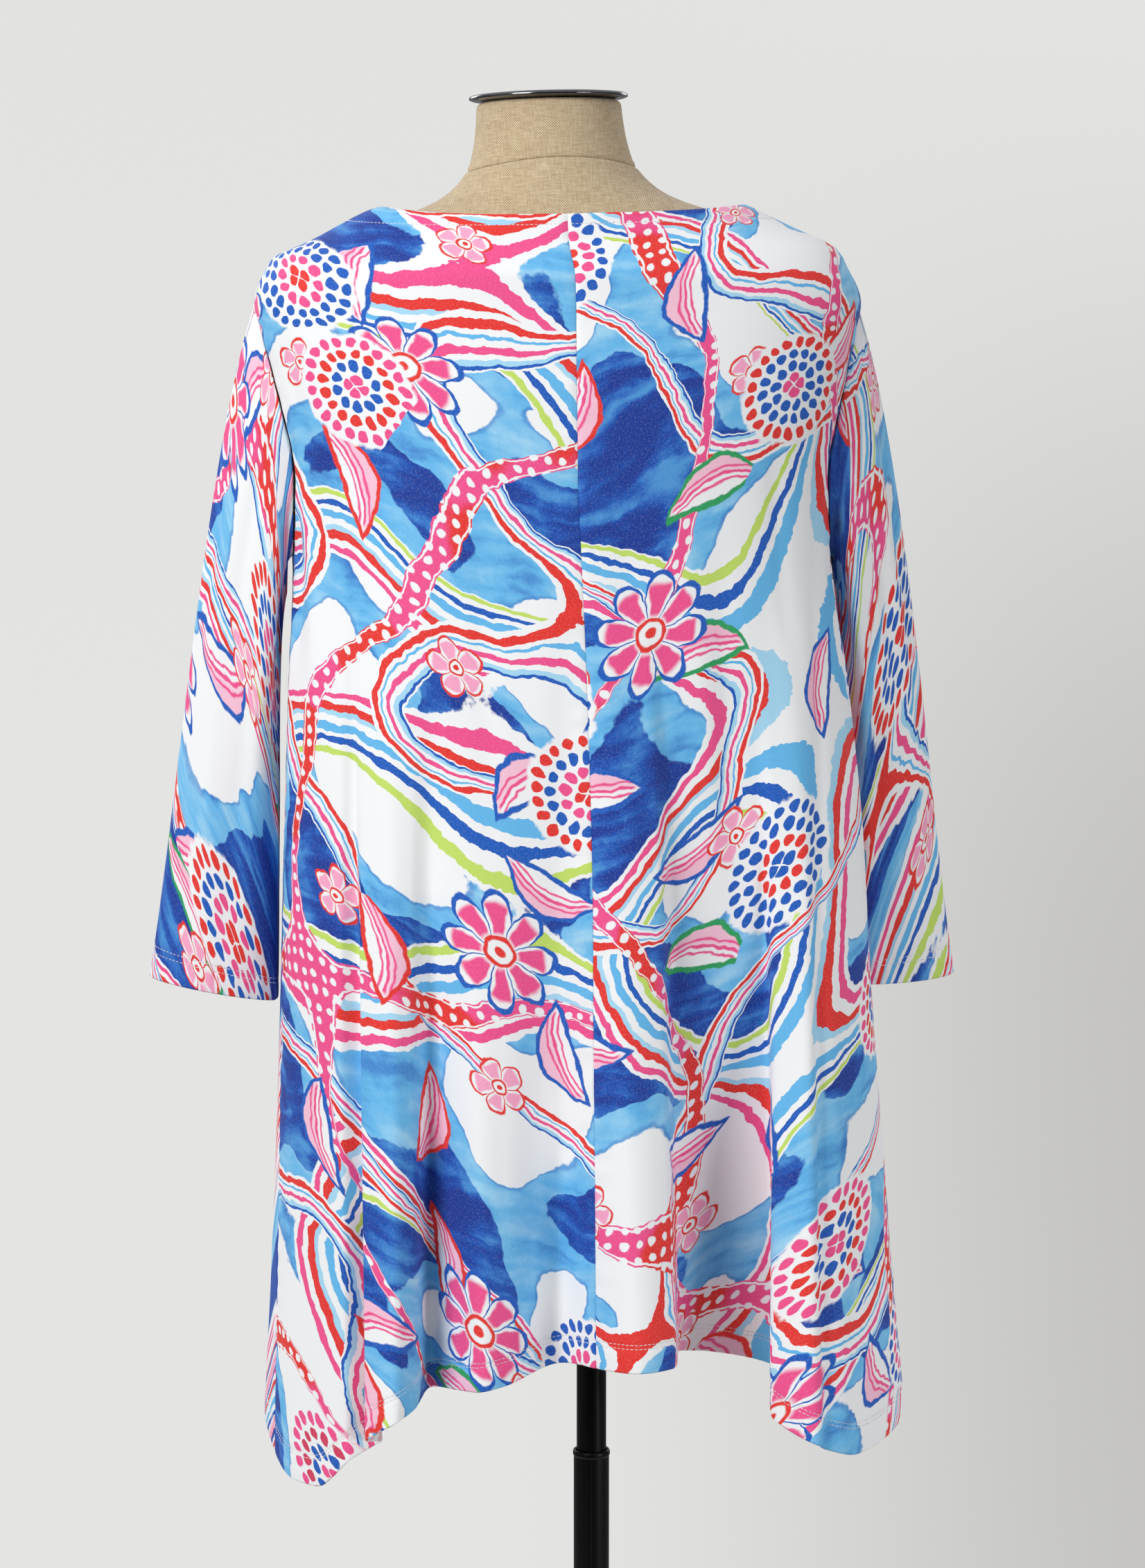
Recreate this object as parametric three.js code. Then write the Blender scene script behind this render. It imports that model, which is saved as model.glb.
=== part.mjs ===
// Tunic top on a limbless dress form with a telescopic stand.
// Millimetres, +Z up. The origin is the centre of the underside of the round base.
// The back of the garment faces -Y. "Left" is the -X side and "right" the +X side, seen from behind.
import * as THREE from "three";

// ---------- driving dimensions ----------
const CLOTH = 2; // wall of the double jersey
const SEAM_GAP = 0.3; // between two panels along a seam
const REST_GAP = 1.7; // between the form and the cloth that lies on it
const CORNER_LIFT = 8; // how far the neckline corners stand off the form
const FORM_FOOT = 830; // height of the underside of the form
const FORM_LEAN = THREE.MathUtils.degToRad(1.45); // the form leans to the left
const FORM_SHIFT = -9.5; // sideways offset of the form's foot from the pole
const SETTLE_TOP = 1465; // above this height the cloth lies on the form
const SETTLE_END = 1440; // below this height it hangs free
const NECK_TOP = 1568.5;
const CAP_RADIUS = 57.7;
const CAP_THICKNESS = 5;
const BASE = { radius: 150, edge: 10, crown: 16, crownRadius: 40 };
const HUB = { radius: 25, neckRadius: 18, bore: 13.5, top: 46 };
const LOWER_TUBE = { radius: 13.2, bore: 11.4, top: 575, lip: 0.6 };
const UPPER_TUBE = { radius: 11, wall: 1.5, foot: 262, head: 819 };
const FLANGE = { radius: 30, neckRadius: 16, rim: 825 };
const TUBE_GAP = 0.3; // at faces that meet and turn or rest
const FOLD_EASE = 1.4; // how slowly a fold opens below its start

// A short table: the first argument names the columns, each row becomes an object.
function table(columns, rows) {
  const names = columns.split(" ");
  return rows.map((row) => Object.fromEntries(names.map((name, i) => [name, row[i]])));
}

// ---------- tables of sections, one row for each level ----------
// mid is the section's middle along Y, square the power of its superellipse.
const FORM_RINGS = table("height half back front mid square", [
  [830, 128, 68, 72, 6, 2.2],
  [833, 135, 75, 79, 6, 2.2],
  [844, 141, 80, 84, 6, 2.2],
  [880, 149, 85, 88, 6, 2.2],
  [930, 153, 87, 88, 5, 2.2],
  [1000, 146, 84, 86, 4, 2.2],
  [1085, 128, 80, 84, 2, 2.1],
  [1180, 140, 86, 98, 0, 2.1],
  [1270, 158, 92, 108, 0, 2.2],
  [1330, 176, 94, 105, 0, 2.2],
  [1380, 193, 93, 97, 2, 2.3],
  [1415, 203, 88, 88, 4, 2.3],
  [1442, 205, 81, 79, 5, 2.3],
  [1451, 203.5, 78, 76, 6, 2.3],
  [1458, 199, 76, 73, 6, 2.3],
  [1463, 189, 74.5, 71, 7, 2.2],
  [1469, 170, 73, 69, 7, 2.2],
  [1475.5, 150, 72, 67, 8, 2.1],
  [1482.6, 129, 71, 65, 9, 2.1],
  [1490.6, 103.4, 70, 63, 11, 2.05],
  [1498, 85, 68.5, 62, 13, 2],
  [1507, 72, 66, 61, 16, 2],
  [1516, 64, 63, 60, 19, 2],
  [1524, 59.5, 60.5, 59, 21, 2],
]);
const NECK_RINGS = table("height half back front mid square", [
  [1524, 59.2, 60.2, 58.7, 21, 2],
  [1532, 57, 58, 57, 22.5, 2],
  [1544, 54.6, 56, 55.5, 24.5, 2],
  [1558, 53, 54.5, 54, 26.5, 2],
  [1564, 52.6, 54, 53.6, 27.3, 2],
  [1567, 51.4, 52.8, 52.4, 27.7, 2],
  [1568.5, 48.5, 50, 49.5, 28, 2],
]);
// The garment where it hangs free: middle is the section's middle along X.
const CLOTH_RINGS = table("height half back front mid middle", [
  [1480, 204, 92, 90, 4, -24.5],
  [1450, 211, 94, 94, 3, -24],
  [1424, 220, 97, 101, 2, -23.5],
  [1400, 216, 101, 109, 1, -24],
  [1350, 206, 108, 117, -1, -24.6],
  [1300, 196.5, 111, 122, -3, -24.6],
  [1240, 195.5, 113, 122, -5, -22.5],
  [1150, 203, 114, 118, -8, -18.5],
  [990, 214, 113, 114, -11, -13.2],
  [920, 217, 112, 113, -12, -12],
  [800, 223, 110, 111, -13, -9],
  [700, 228, 109, 109, -13, -6.5],
  [600, 234, 108, 108, -13, -3.5],
  [540, 236, 108, 108, -13, -2],
]);
const CLOTH_SQUARE = 2.35;

// Each row is the crest or the hollow of a fold: its turn round the body in degrees from the
// centre back, where it lies at the hem (x, y), how low the hem hangs there and how high it starts.
const FOLDS = table("turn x y hem start", [
  [-170, -48, 86, 662, 1180],
  [-158, -84, 122, 656, 1240],
  [-146, -122, 76, 648, 1180],
  [-134, -158, 110, 640, 1220],
  [-122, -186, 68, 630, 1120],
  [-104, -240, 46, 606, 1000],
  [-90, -237, -14, 586, 900],
  [-76, -226, -52, 575, 1080],
  [-66, -211, -80, 577, 1240],
  [-55, -190, -107, 601, 1320],
  [-51, -166, -99, 613, 1290],
  [-47.5, -178, -126, 622, 1290],
  [-41, -160, -138, 635, 1300],
  [-36, -143, -122, 641, 1300],
  [-31, -126, -76, 646, 1200],
  [-27, -112, -105, 651, 1150],
  [-22, -95, -126, 654, 1150],
  [-17, -76, -118, 656, 1160],
  [-7, -37, -90, 664, 1200],
  [0, -14, -128, 669, 1250],
  [5, 14, -147, 669, 1250],
  [12, 43, -130, 668, 1240],
  [15.5, 57, -64, 664, 1230],
  [24, 88, -46, 657, 1200],
  [33, 128, -55, 648, 1200],
  [39, 114, -128, 628, 1220],
  [47, 149, -141, 610, 1300],
  [58, 184, -106, 595, 1300],
  [70, 212, -72, 599, 1200],
  [90, 231, -24, 611, 1000],
  [102, 227, 26, 619, 1050],
  [116, 198, 84, 628, 1120],
  [128, 160, 70, 636, 1180],
  [138, 140, 116, 645, 1240],
  [150, 100, 80, 652, 1180],
  [162, 62, 122, 658, 1240],
  [173, 26, 94, 662, 1160],
  [183, -8, 124, 664, 1220],
]);

// The rows of the body grid, from the neckline to the hem: the height on a straight reference
// line, and how far round (degrees) the back and the front panel reach at that row.
const BODY_ROWS = table("height back front", [
  [1482.5, 90, 90],
  [1478, 90, 90],
  [1473, 90, 90],
  [1467.5, 90, 90],
  [1461.5, 90, 90],
  [1454.5, 90, 90],
  [1441, 90, 90],
  [1425, 90, 90],
  [1404, 83, 97],
  [1381, 78, 104],
  [1350, 75.5, 108],
  [1315, 76, 107],
  [1275, 81, 100],
  [1240, 90, 90],
  [1185, 90, 90],
  [1120, 90, 90],
  [1050, 90, 90],
  [975, 90, 90],
  [900, 90, 90],
  [825, 90, 90],
  [750, 90, 90],
  [695, 90, 90],
  [650, 90, 90],
]);
const ARMHOLE_FIRST = 7; // rows of the body grid that bound the armhole
const ARMHOLE_LAST = 13;
const NECKLINE = { back: 1483.5, left: 1484, right: 1480.5, front: 1428 };
const BACK_COLUMNS = 22;
const FRONT_COLUMNS = 30;
const SLEEVE_ROWS = 13;

// A sleeve hangs from its armhole to a flattened cuff ring.
const SLEEVES = table("name side x y outer inner wide thick turn", [
  ["sleeve_left", -1, -276, 24, 933, 917, 48, 25, 15],
  ["sleeve_right", 1, 241, 42, 922, 918, 44, 26, 20],
]);
const SLEEVE_CLEAR = 4; // between a sleeve and the body beside it

// ---------- curves through tables ----------
const ease = (low, high, value) => THREE.MathUtils.smoothstep(value, low, high);

// The slopes of a smooth curve through points that never overshoots them.
function slopesOf(xs, ys) {
  const steps = xs.slice(1).map((x, i) => (ys[i + 1] - ys[i]) / (x - xs[i]));
  return xs.map((_, i) => {
    const before = steps[i - 1] ?? steps[0];
    const after = steps[i] ?? steps[steps.length - 1];
    return before * after <= 0 ? 0 : (2 * before * after) / (before + after);
  });
}

// The height of that curve at x, kept level beyond its ends.
function curveAt(xs, ys, x) {
  const slopes = slopesOf(xs, ys);
  const clamped = Math.min(Math.max(x, xs[0]), xs[xs.length - 1]);
  const i = Math.min(xs.findLastIndex((value) => value <= clamped), xs.length - 2);
  const span = xs[i + 1] - xs[i];
  const t = (clamped - xs[i]) / span;
  const rise = t * t * (3 - 2 * t);
  return (
    ys[i] * (1 - rise) +
    ys[i + 1] * rise +
    span * (t * (1 - t) * (1 - t) * slopes[i] - t * t * (1 - t) * slopes[i + 1])
  );
}

// Looks columns of a ring table up at a height.
function ringReader(rows) {
  const sorted = [...rows].sort((a, b) => a.height - b.height);
  const heights = sorted.map((row) => row.height);
  return (name, height) => curveAt(heights, sorted.map((row) => row[name]), height);
}
const torsoRing = ringReader(FORM_RINGS);
const neckRing = ringReader(NECK_RINGS);
const clothRing = ringReader(CLOTH_RINGS);

// A point of a horizontal superellipse: turn runs from the centre back (-Y) towards +X.
function sectionPoint(turn, half, back, front, mid, square, height) {
  const s = Math.sin(turn);
  const c = Math.cos(turn);
  const k = (Math.abs(s) ** square + Math.abs(c) ** square) ** (-1 / square);
  return new THREE.Vector3(half * s * k, mid - (c > 0 ? back : front) * c * k, height);
}

// ---------- the form ----------
function formPoint(ring, turn, height) {
  const value = (name) => ring(name, height);
  return sectionPoint(
    turn, value("half"), value("back"), value("front"), value("mid"), value("square"), height,
  );
}

const formFrame = new THREE.Matrix4()
  .makeTranslation(FORM_SHIFT, 0, FORM_FOOT)
  .multiply(new THREE.Matrix4().makeRotationY(-FORM_LEAN))
  .multiply(new THREE.Matrix4().makeTranslation(0, 0, -FORM_FOOT));

function formNormal(turn, height) {
  const step = 0.5;
  const along = formPoint(torsoRing, turn + 0.01, height).sub(
    formPoint(torsoRing, turn - 0.01, height),
  );
  const up = formPoint(torsoRing, turn, height + step).sub(
    formPoint(torsoRing, turn, height - step),
  );
  return along.cross(up).normalize();
}

// ---------- the cloth of the body ----------
const toRadians = THREE.MathUtils.degToRad;
const foldTurns = [
  FOLDS[FOLDS.length - 1].turn - 360,
  ...FOLDS.map((fold) => fold.turn),
  FOLDS[0].turn + 360,
];
const round = (values) => [values[values.length - 1], ...values, values[0]];
const hemAt = (turn) => curveAt(foldTurns, round(FOLDS.map((fold) => fold.hem)), turn);

function plainPoint(turn, height) {
  const value = (name) => clothRing(name, height);
  const point = sectionPoint(
    toRadians(turn), value("half"), value("back"), value("front"), value("mid"),
    CLOTH_SQUARE, height,
  );
  point.x += value("middle");
  return point;
}

const foldShifts = FOLDS.map((fold) => {
  const plain = plainPoint(fold.turn, fold.hem);
  return { x: fold.x - plain.x, y: fold.y - plain.y };
});

// How far the folds move the cloth at a turn and a height.
function foldShift(turn, height) {
  const strength = FOLDS.map((fold) => {
    const depth = (fold.start - height) / (fold.start - fold.hem);
    return Math.max(depth, 0) ** FOLD_EASE;
  });
  const shiftOf = (axis) =>
    curveAt(foldTurns, round(foldShifts.map((shift, i) => shift[axis] * strength[i])), turn);
  return new THREE.Vector3(shiftOf("x"), shiftOf("y"), 0);
}

// The outer face of the cloth, laid on the form at the shoulders and hanging free below.
function clothPoint(turn, height) {
  const free = plainPoint(turn, height).add(foldShift(turn, height));
  if (height <= SETTLE_END) return free;
  const angle = toRadians(turn);
  const lift = CORNER_LIFT * ease(1462, 1484, height) * Math.abs(Math.sin(angle)) ** 4;
  const resting = formPoint(torsoRing, angle, height)
    .addScaledVector(formNormal(angle, height), CLOTH + REST_GAP + lift)
    .applyMatrix4(formFrame);
  return free.lerp(resting, ease(SETTLE_END, SETTLE_TOP, height));
}

function clothNormal(turn, height) {
  const along = clothPoint(turn + 0.4, height).sub(clothPoint(turn - 0.4, height));
  const up = clothPoint(turn, height + 1).sub(clothPoint(turn, height - 1));
  return along.cross(up).normalize();
}

// ---------- walls, lofts and turned pieces ----------
function solidMesh(name, points, triangles, material) {
  const geometry = new THREE.BufferGeometry();
  geometry.setAttribute(
    "position",
    new THREE.Float32BufferAttribute(points.flatMap((point) => point.toArray()), 3),
  );
  geometry.setIndex(triangles.flat());
  geometry.computeVertexNormals();
  const mesh = new THREE.Mesh(geometry, material);
  mesh.name = name;
  return mesh;
}

// Two triangles for each cell of a grid whose rows run along the first index.
function gridFaces(rows, columns, start, flipped, wraps = false) {
  const faces = [];
  for (let i = 0; i < rows - 1; i += 1) {
    for (let j = 0; j < (wraps ? columns : columns - 1); j += 1) {
      const next = (j + 1) % columns;
      const [a, b] = [start + i * columns + j, start + i * columns + next];
      const [c, d] = [a + columns, b + columns];
      faces.push(...(flipped ? [[a, b, c], [b, d, c]] : [[a, c, b], [b, c, d]]));
    }
  }
  return faces;
}

// Joins two open rims, given as lists of point numbers, with a strip.
function rimFaces(outer, inner) {
  return outer.slice(1).flatMap((after, i) => [
    [outer[i], after, inner[i]],
    [after, inner[i + 1], inner[i]],
  ]);
}

// A wall of cloth: the outer face is a grid of points, the inner face a grid one wall behind it.
function clothWall(name, outer, inner, material, wraps = false) {
  const rows = outer.length;
  const columns = outer[0].length;
  const count = rows * columns;
  const number = (i, j) => i * columns + j;
  const along = (i) => {
    const line = Array.from({ length: columns }, (_, j) => number(i, j));
    return wraps ? [...line, line[0]] : line;
  };
  const down = (j) => Array.from({ length: rows }, (_, i) => number(i, j));
  const rims = [along(0), along(rows - 1).reverse()];
  if (!wraps) rims.push(down(0).reverse(), down(columns - 1));
  const faces = [
    ...gridFaces(rows, columns, 0, false, wraps),
    ...gridFaces(rows, columns, count, true, wraps),
    ...rims.flatMap((rim) => rimFaces(rim, rim.map((value) => value + count))),
  ];
  return solidMesh(name, [...outer.flat(), ...inner.flat()], faces, material);
}

// A closed loft through rings of equal length, capped flat at both ends.
function closedLoft(name, rings, material) {
  const columns = rings[0].length;
  const middleOf = (ring) =>
    ring.reduce((sum, point) => sum.add(point), new THREE.Vector3()).divideScalar(columns);
  const points = [...rings.flat(), middleOf(rings[0]), middleOf(rings[rings.length - 1])];
  const faces = gridFaces(rings.length, columns, 0, true, true);
  const foot = rings.length * columns;
  const top = (rings.length - 1) * columns;
  for (let j = 0; j < columns; j += 1) {
    const next = (j + 1) % columns;
    faces.push([foot, next, j], [foot + 1, top + j, top + next]);
  }
  return solidMesh(name, points, faces, material);
}

function turned(name, profile, material, sides = 36) {
  const outline = profile.map(([radius, height]) => new THREE.Vector2(radius, height));
  const mesh = new THREE.Mesh(new THREE.LatheGeometry(outline, sides), material);
  mesh.geometry.rotateX(Math.PI / 2);
  mesh.name = name;
  return mesh;
}

// ---------- materials ----------
const finish = (color, roughness, metalness = 0) =>
  new THREE.MeshStandardMaterial({ color, roughness, metalness });
const JERSEY_BACK = finish(0x8fc4e8, 0.8);
const JERSEY_FRONT = finish(0xdfe8f2, 0.8);
const JERSEY_SLEEVE = finish(0xf0d5de, 0.8);
const LINEN = finish(0xa38f6e, 0.9);
const CHROME = finish(0xc8ccd0, 0.15, 1);
const BLACK_STEEL = finish(0x0c0c0e, 0.35, 0.6);

// ---------- the body panels ----------
function neckline(turn) {
  const reach = Math.min(Math.abs(turn), 360 - Math.abs(turn));
  const corner = turn > 0 && turn < 180 ? NECKLINE.right : NECKLINE.left;
  if (reach <= 90) {
    return THREE.MathUtils.lerp(NECKLINE.back, corner, ease(10, 90, reach));
  }
  return NECKLINE.front + (corner - NECKLINE.front) * ((180 - reach) / 90) ** 2.4;
}

const REFERENCE_TOP = BODY_ROWS[0].height;
const REFERENCE_HEM = BODY_ROWS[BODY_ROWS.length - 1].height;

function bodyHeight(turn, row) {
  const share = (REFERENCE_TOP - row.height) / (REFERENCE_TOP - REFERENCE_HEM);
  return THREE.MathUtils.lerp(neckline(turn), hemAt(turn), share);
}

const withinFolds = (turn) => (turn > foldTurns[foldTurns.length - 2] ? turn - 360 : turn);

// A panel between two turns at each row; its side edges stand half a seam gap back.
function bodyGrid(columns, turnsAt) {
  const outer = [];
  const inner = [];
  for (const row of BODY_ROWS) {
    const [first, last] = turnsAt(row);
    const line = Array.from({ length: columns }, (_, j) => {
      const turn = withinFolds(THREE.MathUtils.lerp(first, last, j / (columns - 1)));
      const height = bodyHeight(turn, row);
      return { point: clothPoint(turn, height), normal: clothNormal(turn, height) };
    });
    const edge = (from, to) =>
      line[to].point.clone().sub(line[from].point).setLength(SEAM_GAP / 2);
    const shifts = [[0, edge(0, 1)], [columns - 1, edge(columns - 1, columns - 2)]];
    shifts.forEach(([j, shift]) => line[j].point.add(shift));
    outer.push(line.map(({ point }) => point));
    inner.push(line.map(({ point, normal }) => point.clone().addScaledVector(normal, -CLOTH)));
  }
  return { outer, inner };
}

const backLeft = bodyGrid(BACK_COLUMNS, (row) => [-row.back, 0]);
const backRight = bodyGrid(BACK_COLUMNS, (row) => [0, row.back]);
const front = bodyGrid(FRONT_COLUMNS, (row) => [row.front, 360 - row.front]);

// ---------- the sleeves ----------
// The armhole as a closed line: down the back panel's edge and up the front panel's.
function armholeLine(side) {
  const back = side < 0 ? backLeft.outer : backRight.outer;
  const backEdge = back.map((line) => line[side < 0 ? 0 : line.length - 1]);
  const frontEdge = front.outer.map((line) => line[side < 0 ? line.length - 1 : 0]);
  const corners = [
    ...backEdge.slice(ARMHOLE_FIRST, ARMHOLE_LAST + 1),
    ...frontEdge.slice(ARMHOLE_FIRST + 1, ARMHOLE_LAST).reverse(),
  ];
  return corners.flatMap((corner, i) => [
    corner.clone(),
    corner.clone().lerp(corners[(i + 1) % corners.length], 0.5),
  ]);
}

// How far out the free-hanging body reaches at a depth and a height, without its folds.
function bodyReach(y, height, side) {
  const offset = y - clothRing("mid", height);
  const depth = clothRing(offset < 0 ? "back" : "front", height);
  const rest = Math.max(1 - Math.abs(offset / depth) ** CLOTH_SQUARE, 0);
  const reach = clothRing("half", height) * rest ** (1 / CLOTH_SQUARE);
  return clothRing("middle", height) + side * reach;
}

function sleeveGrid({ side, x, y, outer: outerEnd, inner: innerEnd, wide, thick, turn }) {
  const start = armholeLine(side);
  const angle = toRadians(turn);
  const across = new THREE.Vector3(side * Math.cos(angle), Math.sin(angle), 0);
  const backward = new THREE.Vector3(side * Math.sin(angle), -Math.cos(angle), 0);
  const skin = Array.from({ length: SLEEVE_ROWS }, (_, i) => {
    const v = (i / (SLEEVE_ROWS - 1)) ** 1.25;
    return start.map((from, j) => {
      const around = (2 * Math.PI * j) / start.length;
      const low = (1 - Math.cos(around)) / 2;
      const cuff = new THREE.Vector3(x, y, THREE.MathUtils.lerp(outerEnd, innerEnd, low))
        .addScaledVector(across, wide * Math.cos(around))
        .addScaledVector(backward, thick * Math.sin(around));
      const droop = toRadians(THREE.MathUtils.lerp(71, 20, low));
      const leave = new THREE.Vector3(side * Math.cos(droop), 0, -Math.sin(droop));
      const run = cuff.clone().sub(from);
      leave.multiplyScalar(run.length() * THREE.MathUtils.lerp(0.6, 0.16, low));
      const gap = leave.clone().setLength(SEAM_GAP);
      const point = from.clone().add(gap).multiplyScalar((1 + 2 * v) * (1 - v) ** 2)
        .addScaledVector(leave, v * (1 - v) ** 2)
        .addScaledVector(cuff, v * v * (3 - 2 * v))
        .addScaledVector(run, 0.9 * v * v * (v - 1));
      const ripple = 4 * Math.sin(3 * around + 1) * Math.sin(Math.PI * v) ** 2;
      point.addScaledVector(backward, ripple);
      if (point.z < BODY_ROWS[ARMHOLE_LAST].height) {
        const limit = bodyReach(point.y, point.z, side) + side * SLEEVE_CLEAR;
        point.x = side * Math.max(side * point.x, side * limit);
      }
      return point;
    });
  });
  return { outer: skin, inner: tubeBehind(skin, side) };
}

// The inner face of a tube, one wall behind its skin.
function tubeBehind(skin, side) {
  return skin.map((line, i) =>
    line.map((point, j) => {
      const count = line.length;
      const around = line[(j + 1) % count].clone().sub(line[(j + count - 1) % count]);
      const above = skin[Math.max(i - 1, 0)][j];
      const below = skin[Math.min(i + 1, skin.length - 1)][j];
      const normal = around.cross(above.clone().sub(below)).normalize();
      return point.clone().addScaledVector(normal, side * CLOTH);
    }),
  );
}

// ---------- the whole ----------
const garment = new THREE.Group();
garment.add(
  clothWall("back_left", backLeft.outer, backLeft.inner, JERSEY_BACK),
  clothWall("back_right", backRight.outer, backRight.inner, JERSEY_BACK),
  clothWall("front", front.outer, front.inner, JERSEY_FRONT),
);
for (const sleeve of SLEEVES) {
  const { outer, inner } = sleeveGrid(sleeve);
  const order = (line) => (sleeve.side > 0 ? line.toReversed() : line);
  garment.add(
    clothWall(sleeve.name, outer.map(order), inner.map(order), JERSEY_SLEEVE, true),
  );
}

const FORM_COLUMNS = 36;
const formRings = (rows, ring) =>
  rows.map(({ height }) =>
    Array.from({ length: FORM_COLUMNS }, (_, j) =>
      formPoint(ring, (2 * Math.PI * j) / FORM_COLUMNS, height),
    ),
  );

// The disc on top of the neck, with a bevelled rim.
function neckCap() {
  const disc = turned(
    "neck_cap",
    [
      [0, 0], [CAP_RADIUS - 8.7, 0], [CAP_RADIUS - 3.2, 0.6], [CAP_RADIUS, 1.7], [CAP_RADIUS, 3],
      [CAP_RADIUS - 1.7, CAP_THICKNESS - 0.6], [CAP_RADIUS - 7.7, CAP_THICKNESS],
      [0, CAP_THICKNESS],
    ],
    CHROME, 48,
  );
  disc.position.set(0, neckRing("mid", NECK_TOP), NECK_TOP + 2 * TUBE_GAP);
  return disc;
}

const form = new THREE.Group();
form.applyMatrix4(formFrame);
const neck = closedLoft("form_neck", formRings(NECK_RINGS, neckRing), LINEN);
neck.position.z = TUBE_GAP;
form.add(closedLoft("form_torso", formRings(FORM_RINGS, torsoRing), LINEN), neck, neckCap());

// ---------- the stand ----------
function standPieces() {
  const seat = BASE.crown + TUBE_GAP;
  const lower = LOWER_TUBE;
  const upper = UPPER_TUBE;
  const bore = upper.radius - upper.wall;
  const flangeFoot = upper.head + TUBE_GAP;
  const flangeTop = FORM_FOOT - 0.8; // clears the leaning underside of the form
  const lipRadius = lower.radius + lower.lip;
  return [
    turned("pole_flange", [
      [0, flangeFoot], [FLANGE.neckRadius, flangeFoot], [FLANGE.radius, FLANGE.rim],
      [FLANGE.radius, flangeTop], [0, flangeTop],
    ], BLACK_STEEL),
    turned("upper_tube", [
      [bore, upper.foot], [upper.radius, upper.foot], [upper.radius, upper.head],
      [bore, upper.head], [bore, upper.foot],
    ], BLACK_STEEL),
    turned("lower_tube", [
      [lower.bore, seat], [lower.radius, seat], [lower.radius, lower.top - 5],
      [lipRadius, lower.top - 3.8], [lipRadius, lower.top - 1.4],
      [lipRadius - 0.8, lower.top], [lower.bore + 0.6, lower.top],
      [lower.bore, lower.top - 1.2], [lower.bore, seat],
    ], BLACK_STEEL),
    turned("base_hub", [
      [HUB.bore, seat], [HUB.radius, seat], [HUB.radius - 1, seat + 8],
      [HUB.neckRadius, HUB.top - 2], [HUB.bore, HUB.top], [HUB.bore, seat],
    ], BLACK_STEEL),
    turned("base_plate", [
      [0, 0], [BASE.radius - 2, 0], [BASE.radius, 2], [BASE.radius, BASE.edge - 3],
      [BASE.radius - 4, BASE.edge], [BASE.crownRadius, BASE.crown], [0, BASE.crown],
    ], BLACK_STEEL, 64),
  ];
}

const stand = new THREE.Group();
stand.add(...standPieces());

const tunicOnForm = new THREE.Group();
tunicOnForm.add(stand, form, garment);

export default tunicOnForm;
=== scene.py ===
# %% [markdown]
# # A tunic top on a dress form
# The object is a flared jersey top with three-quarter sleeves and a hem that dips to a point at
# each side. It hangs on a limbless, linen-covered dress form, which stands on a black telescopic
# pole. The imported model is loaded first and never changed: it fixes every place and size, and the
# pieces made here stand in for its solids with a finer surface.

# %% Load the frame
import math

import bmesh
import bpy
import numpy as np
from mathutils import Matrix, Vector


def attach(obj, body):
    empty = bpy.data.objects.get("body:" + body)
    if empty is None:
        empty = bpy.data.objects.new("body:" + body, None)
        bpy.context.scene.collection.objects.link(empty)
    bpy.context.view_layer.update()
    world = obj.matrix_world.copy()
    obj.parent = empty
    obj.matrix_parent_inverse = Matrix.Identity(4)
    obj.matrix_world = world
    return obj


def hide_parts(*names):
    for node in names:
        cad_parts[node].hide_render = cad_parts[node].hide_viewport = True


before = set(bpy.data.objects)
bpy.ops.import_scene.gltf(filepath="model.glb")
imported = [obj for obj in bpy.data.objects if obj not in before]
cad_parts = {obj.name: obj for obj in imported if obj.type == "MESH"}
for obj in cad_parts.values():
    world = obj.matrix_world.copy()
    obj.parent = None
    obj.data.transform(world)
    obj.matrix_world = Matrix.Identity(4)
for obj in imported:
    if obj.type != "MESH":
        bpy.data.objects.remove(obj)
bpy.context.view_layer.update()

MM = 0.001

# %% [markdown]
# ## Camera
# The top is seen from behind, a little from its left and from shoulder height. A long lens from
# almost three metres away keeps the sides nearly parallel.

# %% Camera
EYE = (-0.3785, -2.8752, 1.380)
HEADING = 7.221  # degrees towards +X
LOOK_DOWN = 6.04
camera_data = bpy.data.cameras.new("camera")
camera_data.lens = 91.4
camera_data.sensor_width = 36
camera = bpy.data.objects.new("camera", camera_data)
camera.location = EYE
camera.rotation_euler = (math.radians(90 - LOOK_DOWN), 0, math.radians(-HEADING))
bpy.context.scene.collection.objects.link(camera)
bpy.context.scene.camera = camera
bpy.context.scene.view_settings.view_transform = "Standard"
print("lens", camera_data.lens, "mm")

# %% [markdown]
# ## Curves through short tables
# A garment is drafted from a few measured levels. Each table here has one row for a level or a
# fold, and a smooth curve fills in between the rows. The curve's slope at a row is the harmonic
# mean of the slopes beside it, which never overshoots, so a waist stays as narrow as measured.

# %% Tables and curves
def table(columns, rows):
    """Turns rows of numbers into one array for each named column."""
    return {name: np.array(values, float) for name, values in zip(columns.split(), zip(*rows))}


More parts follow.
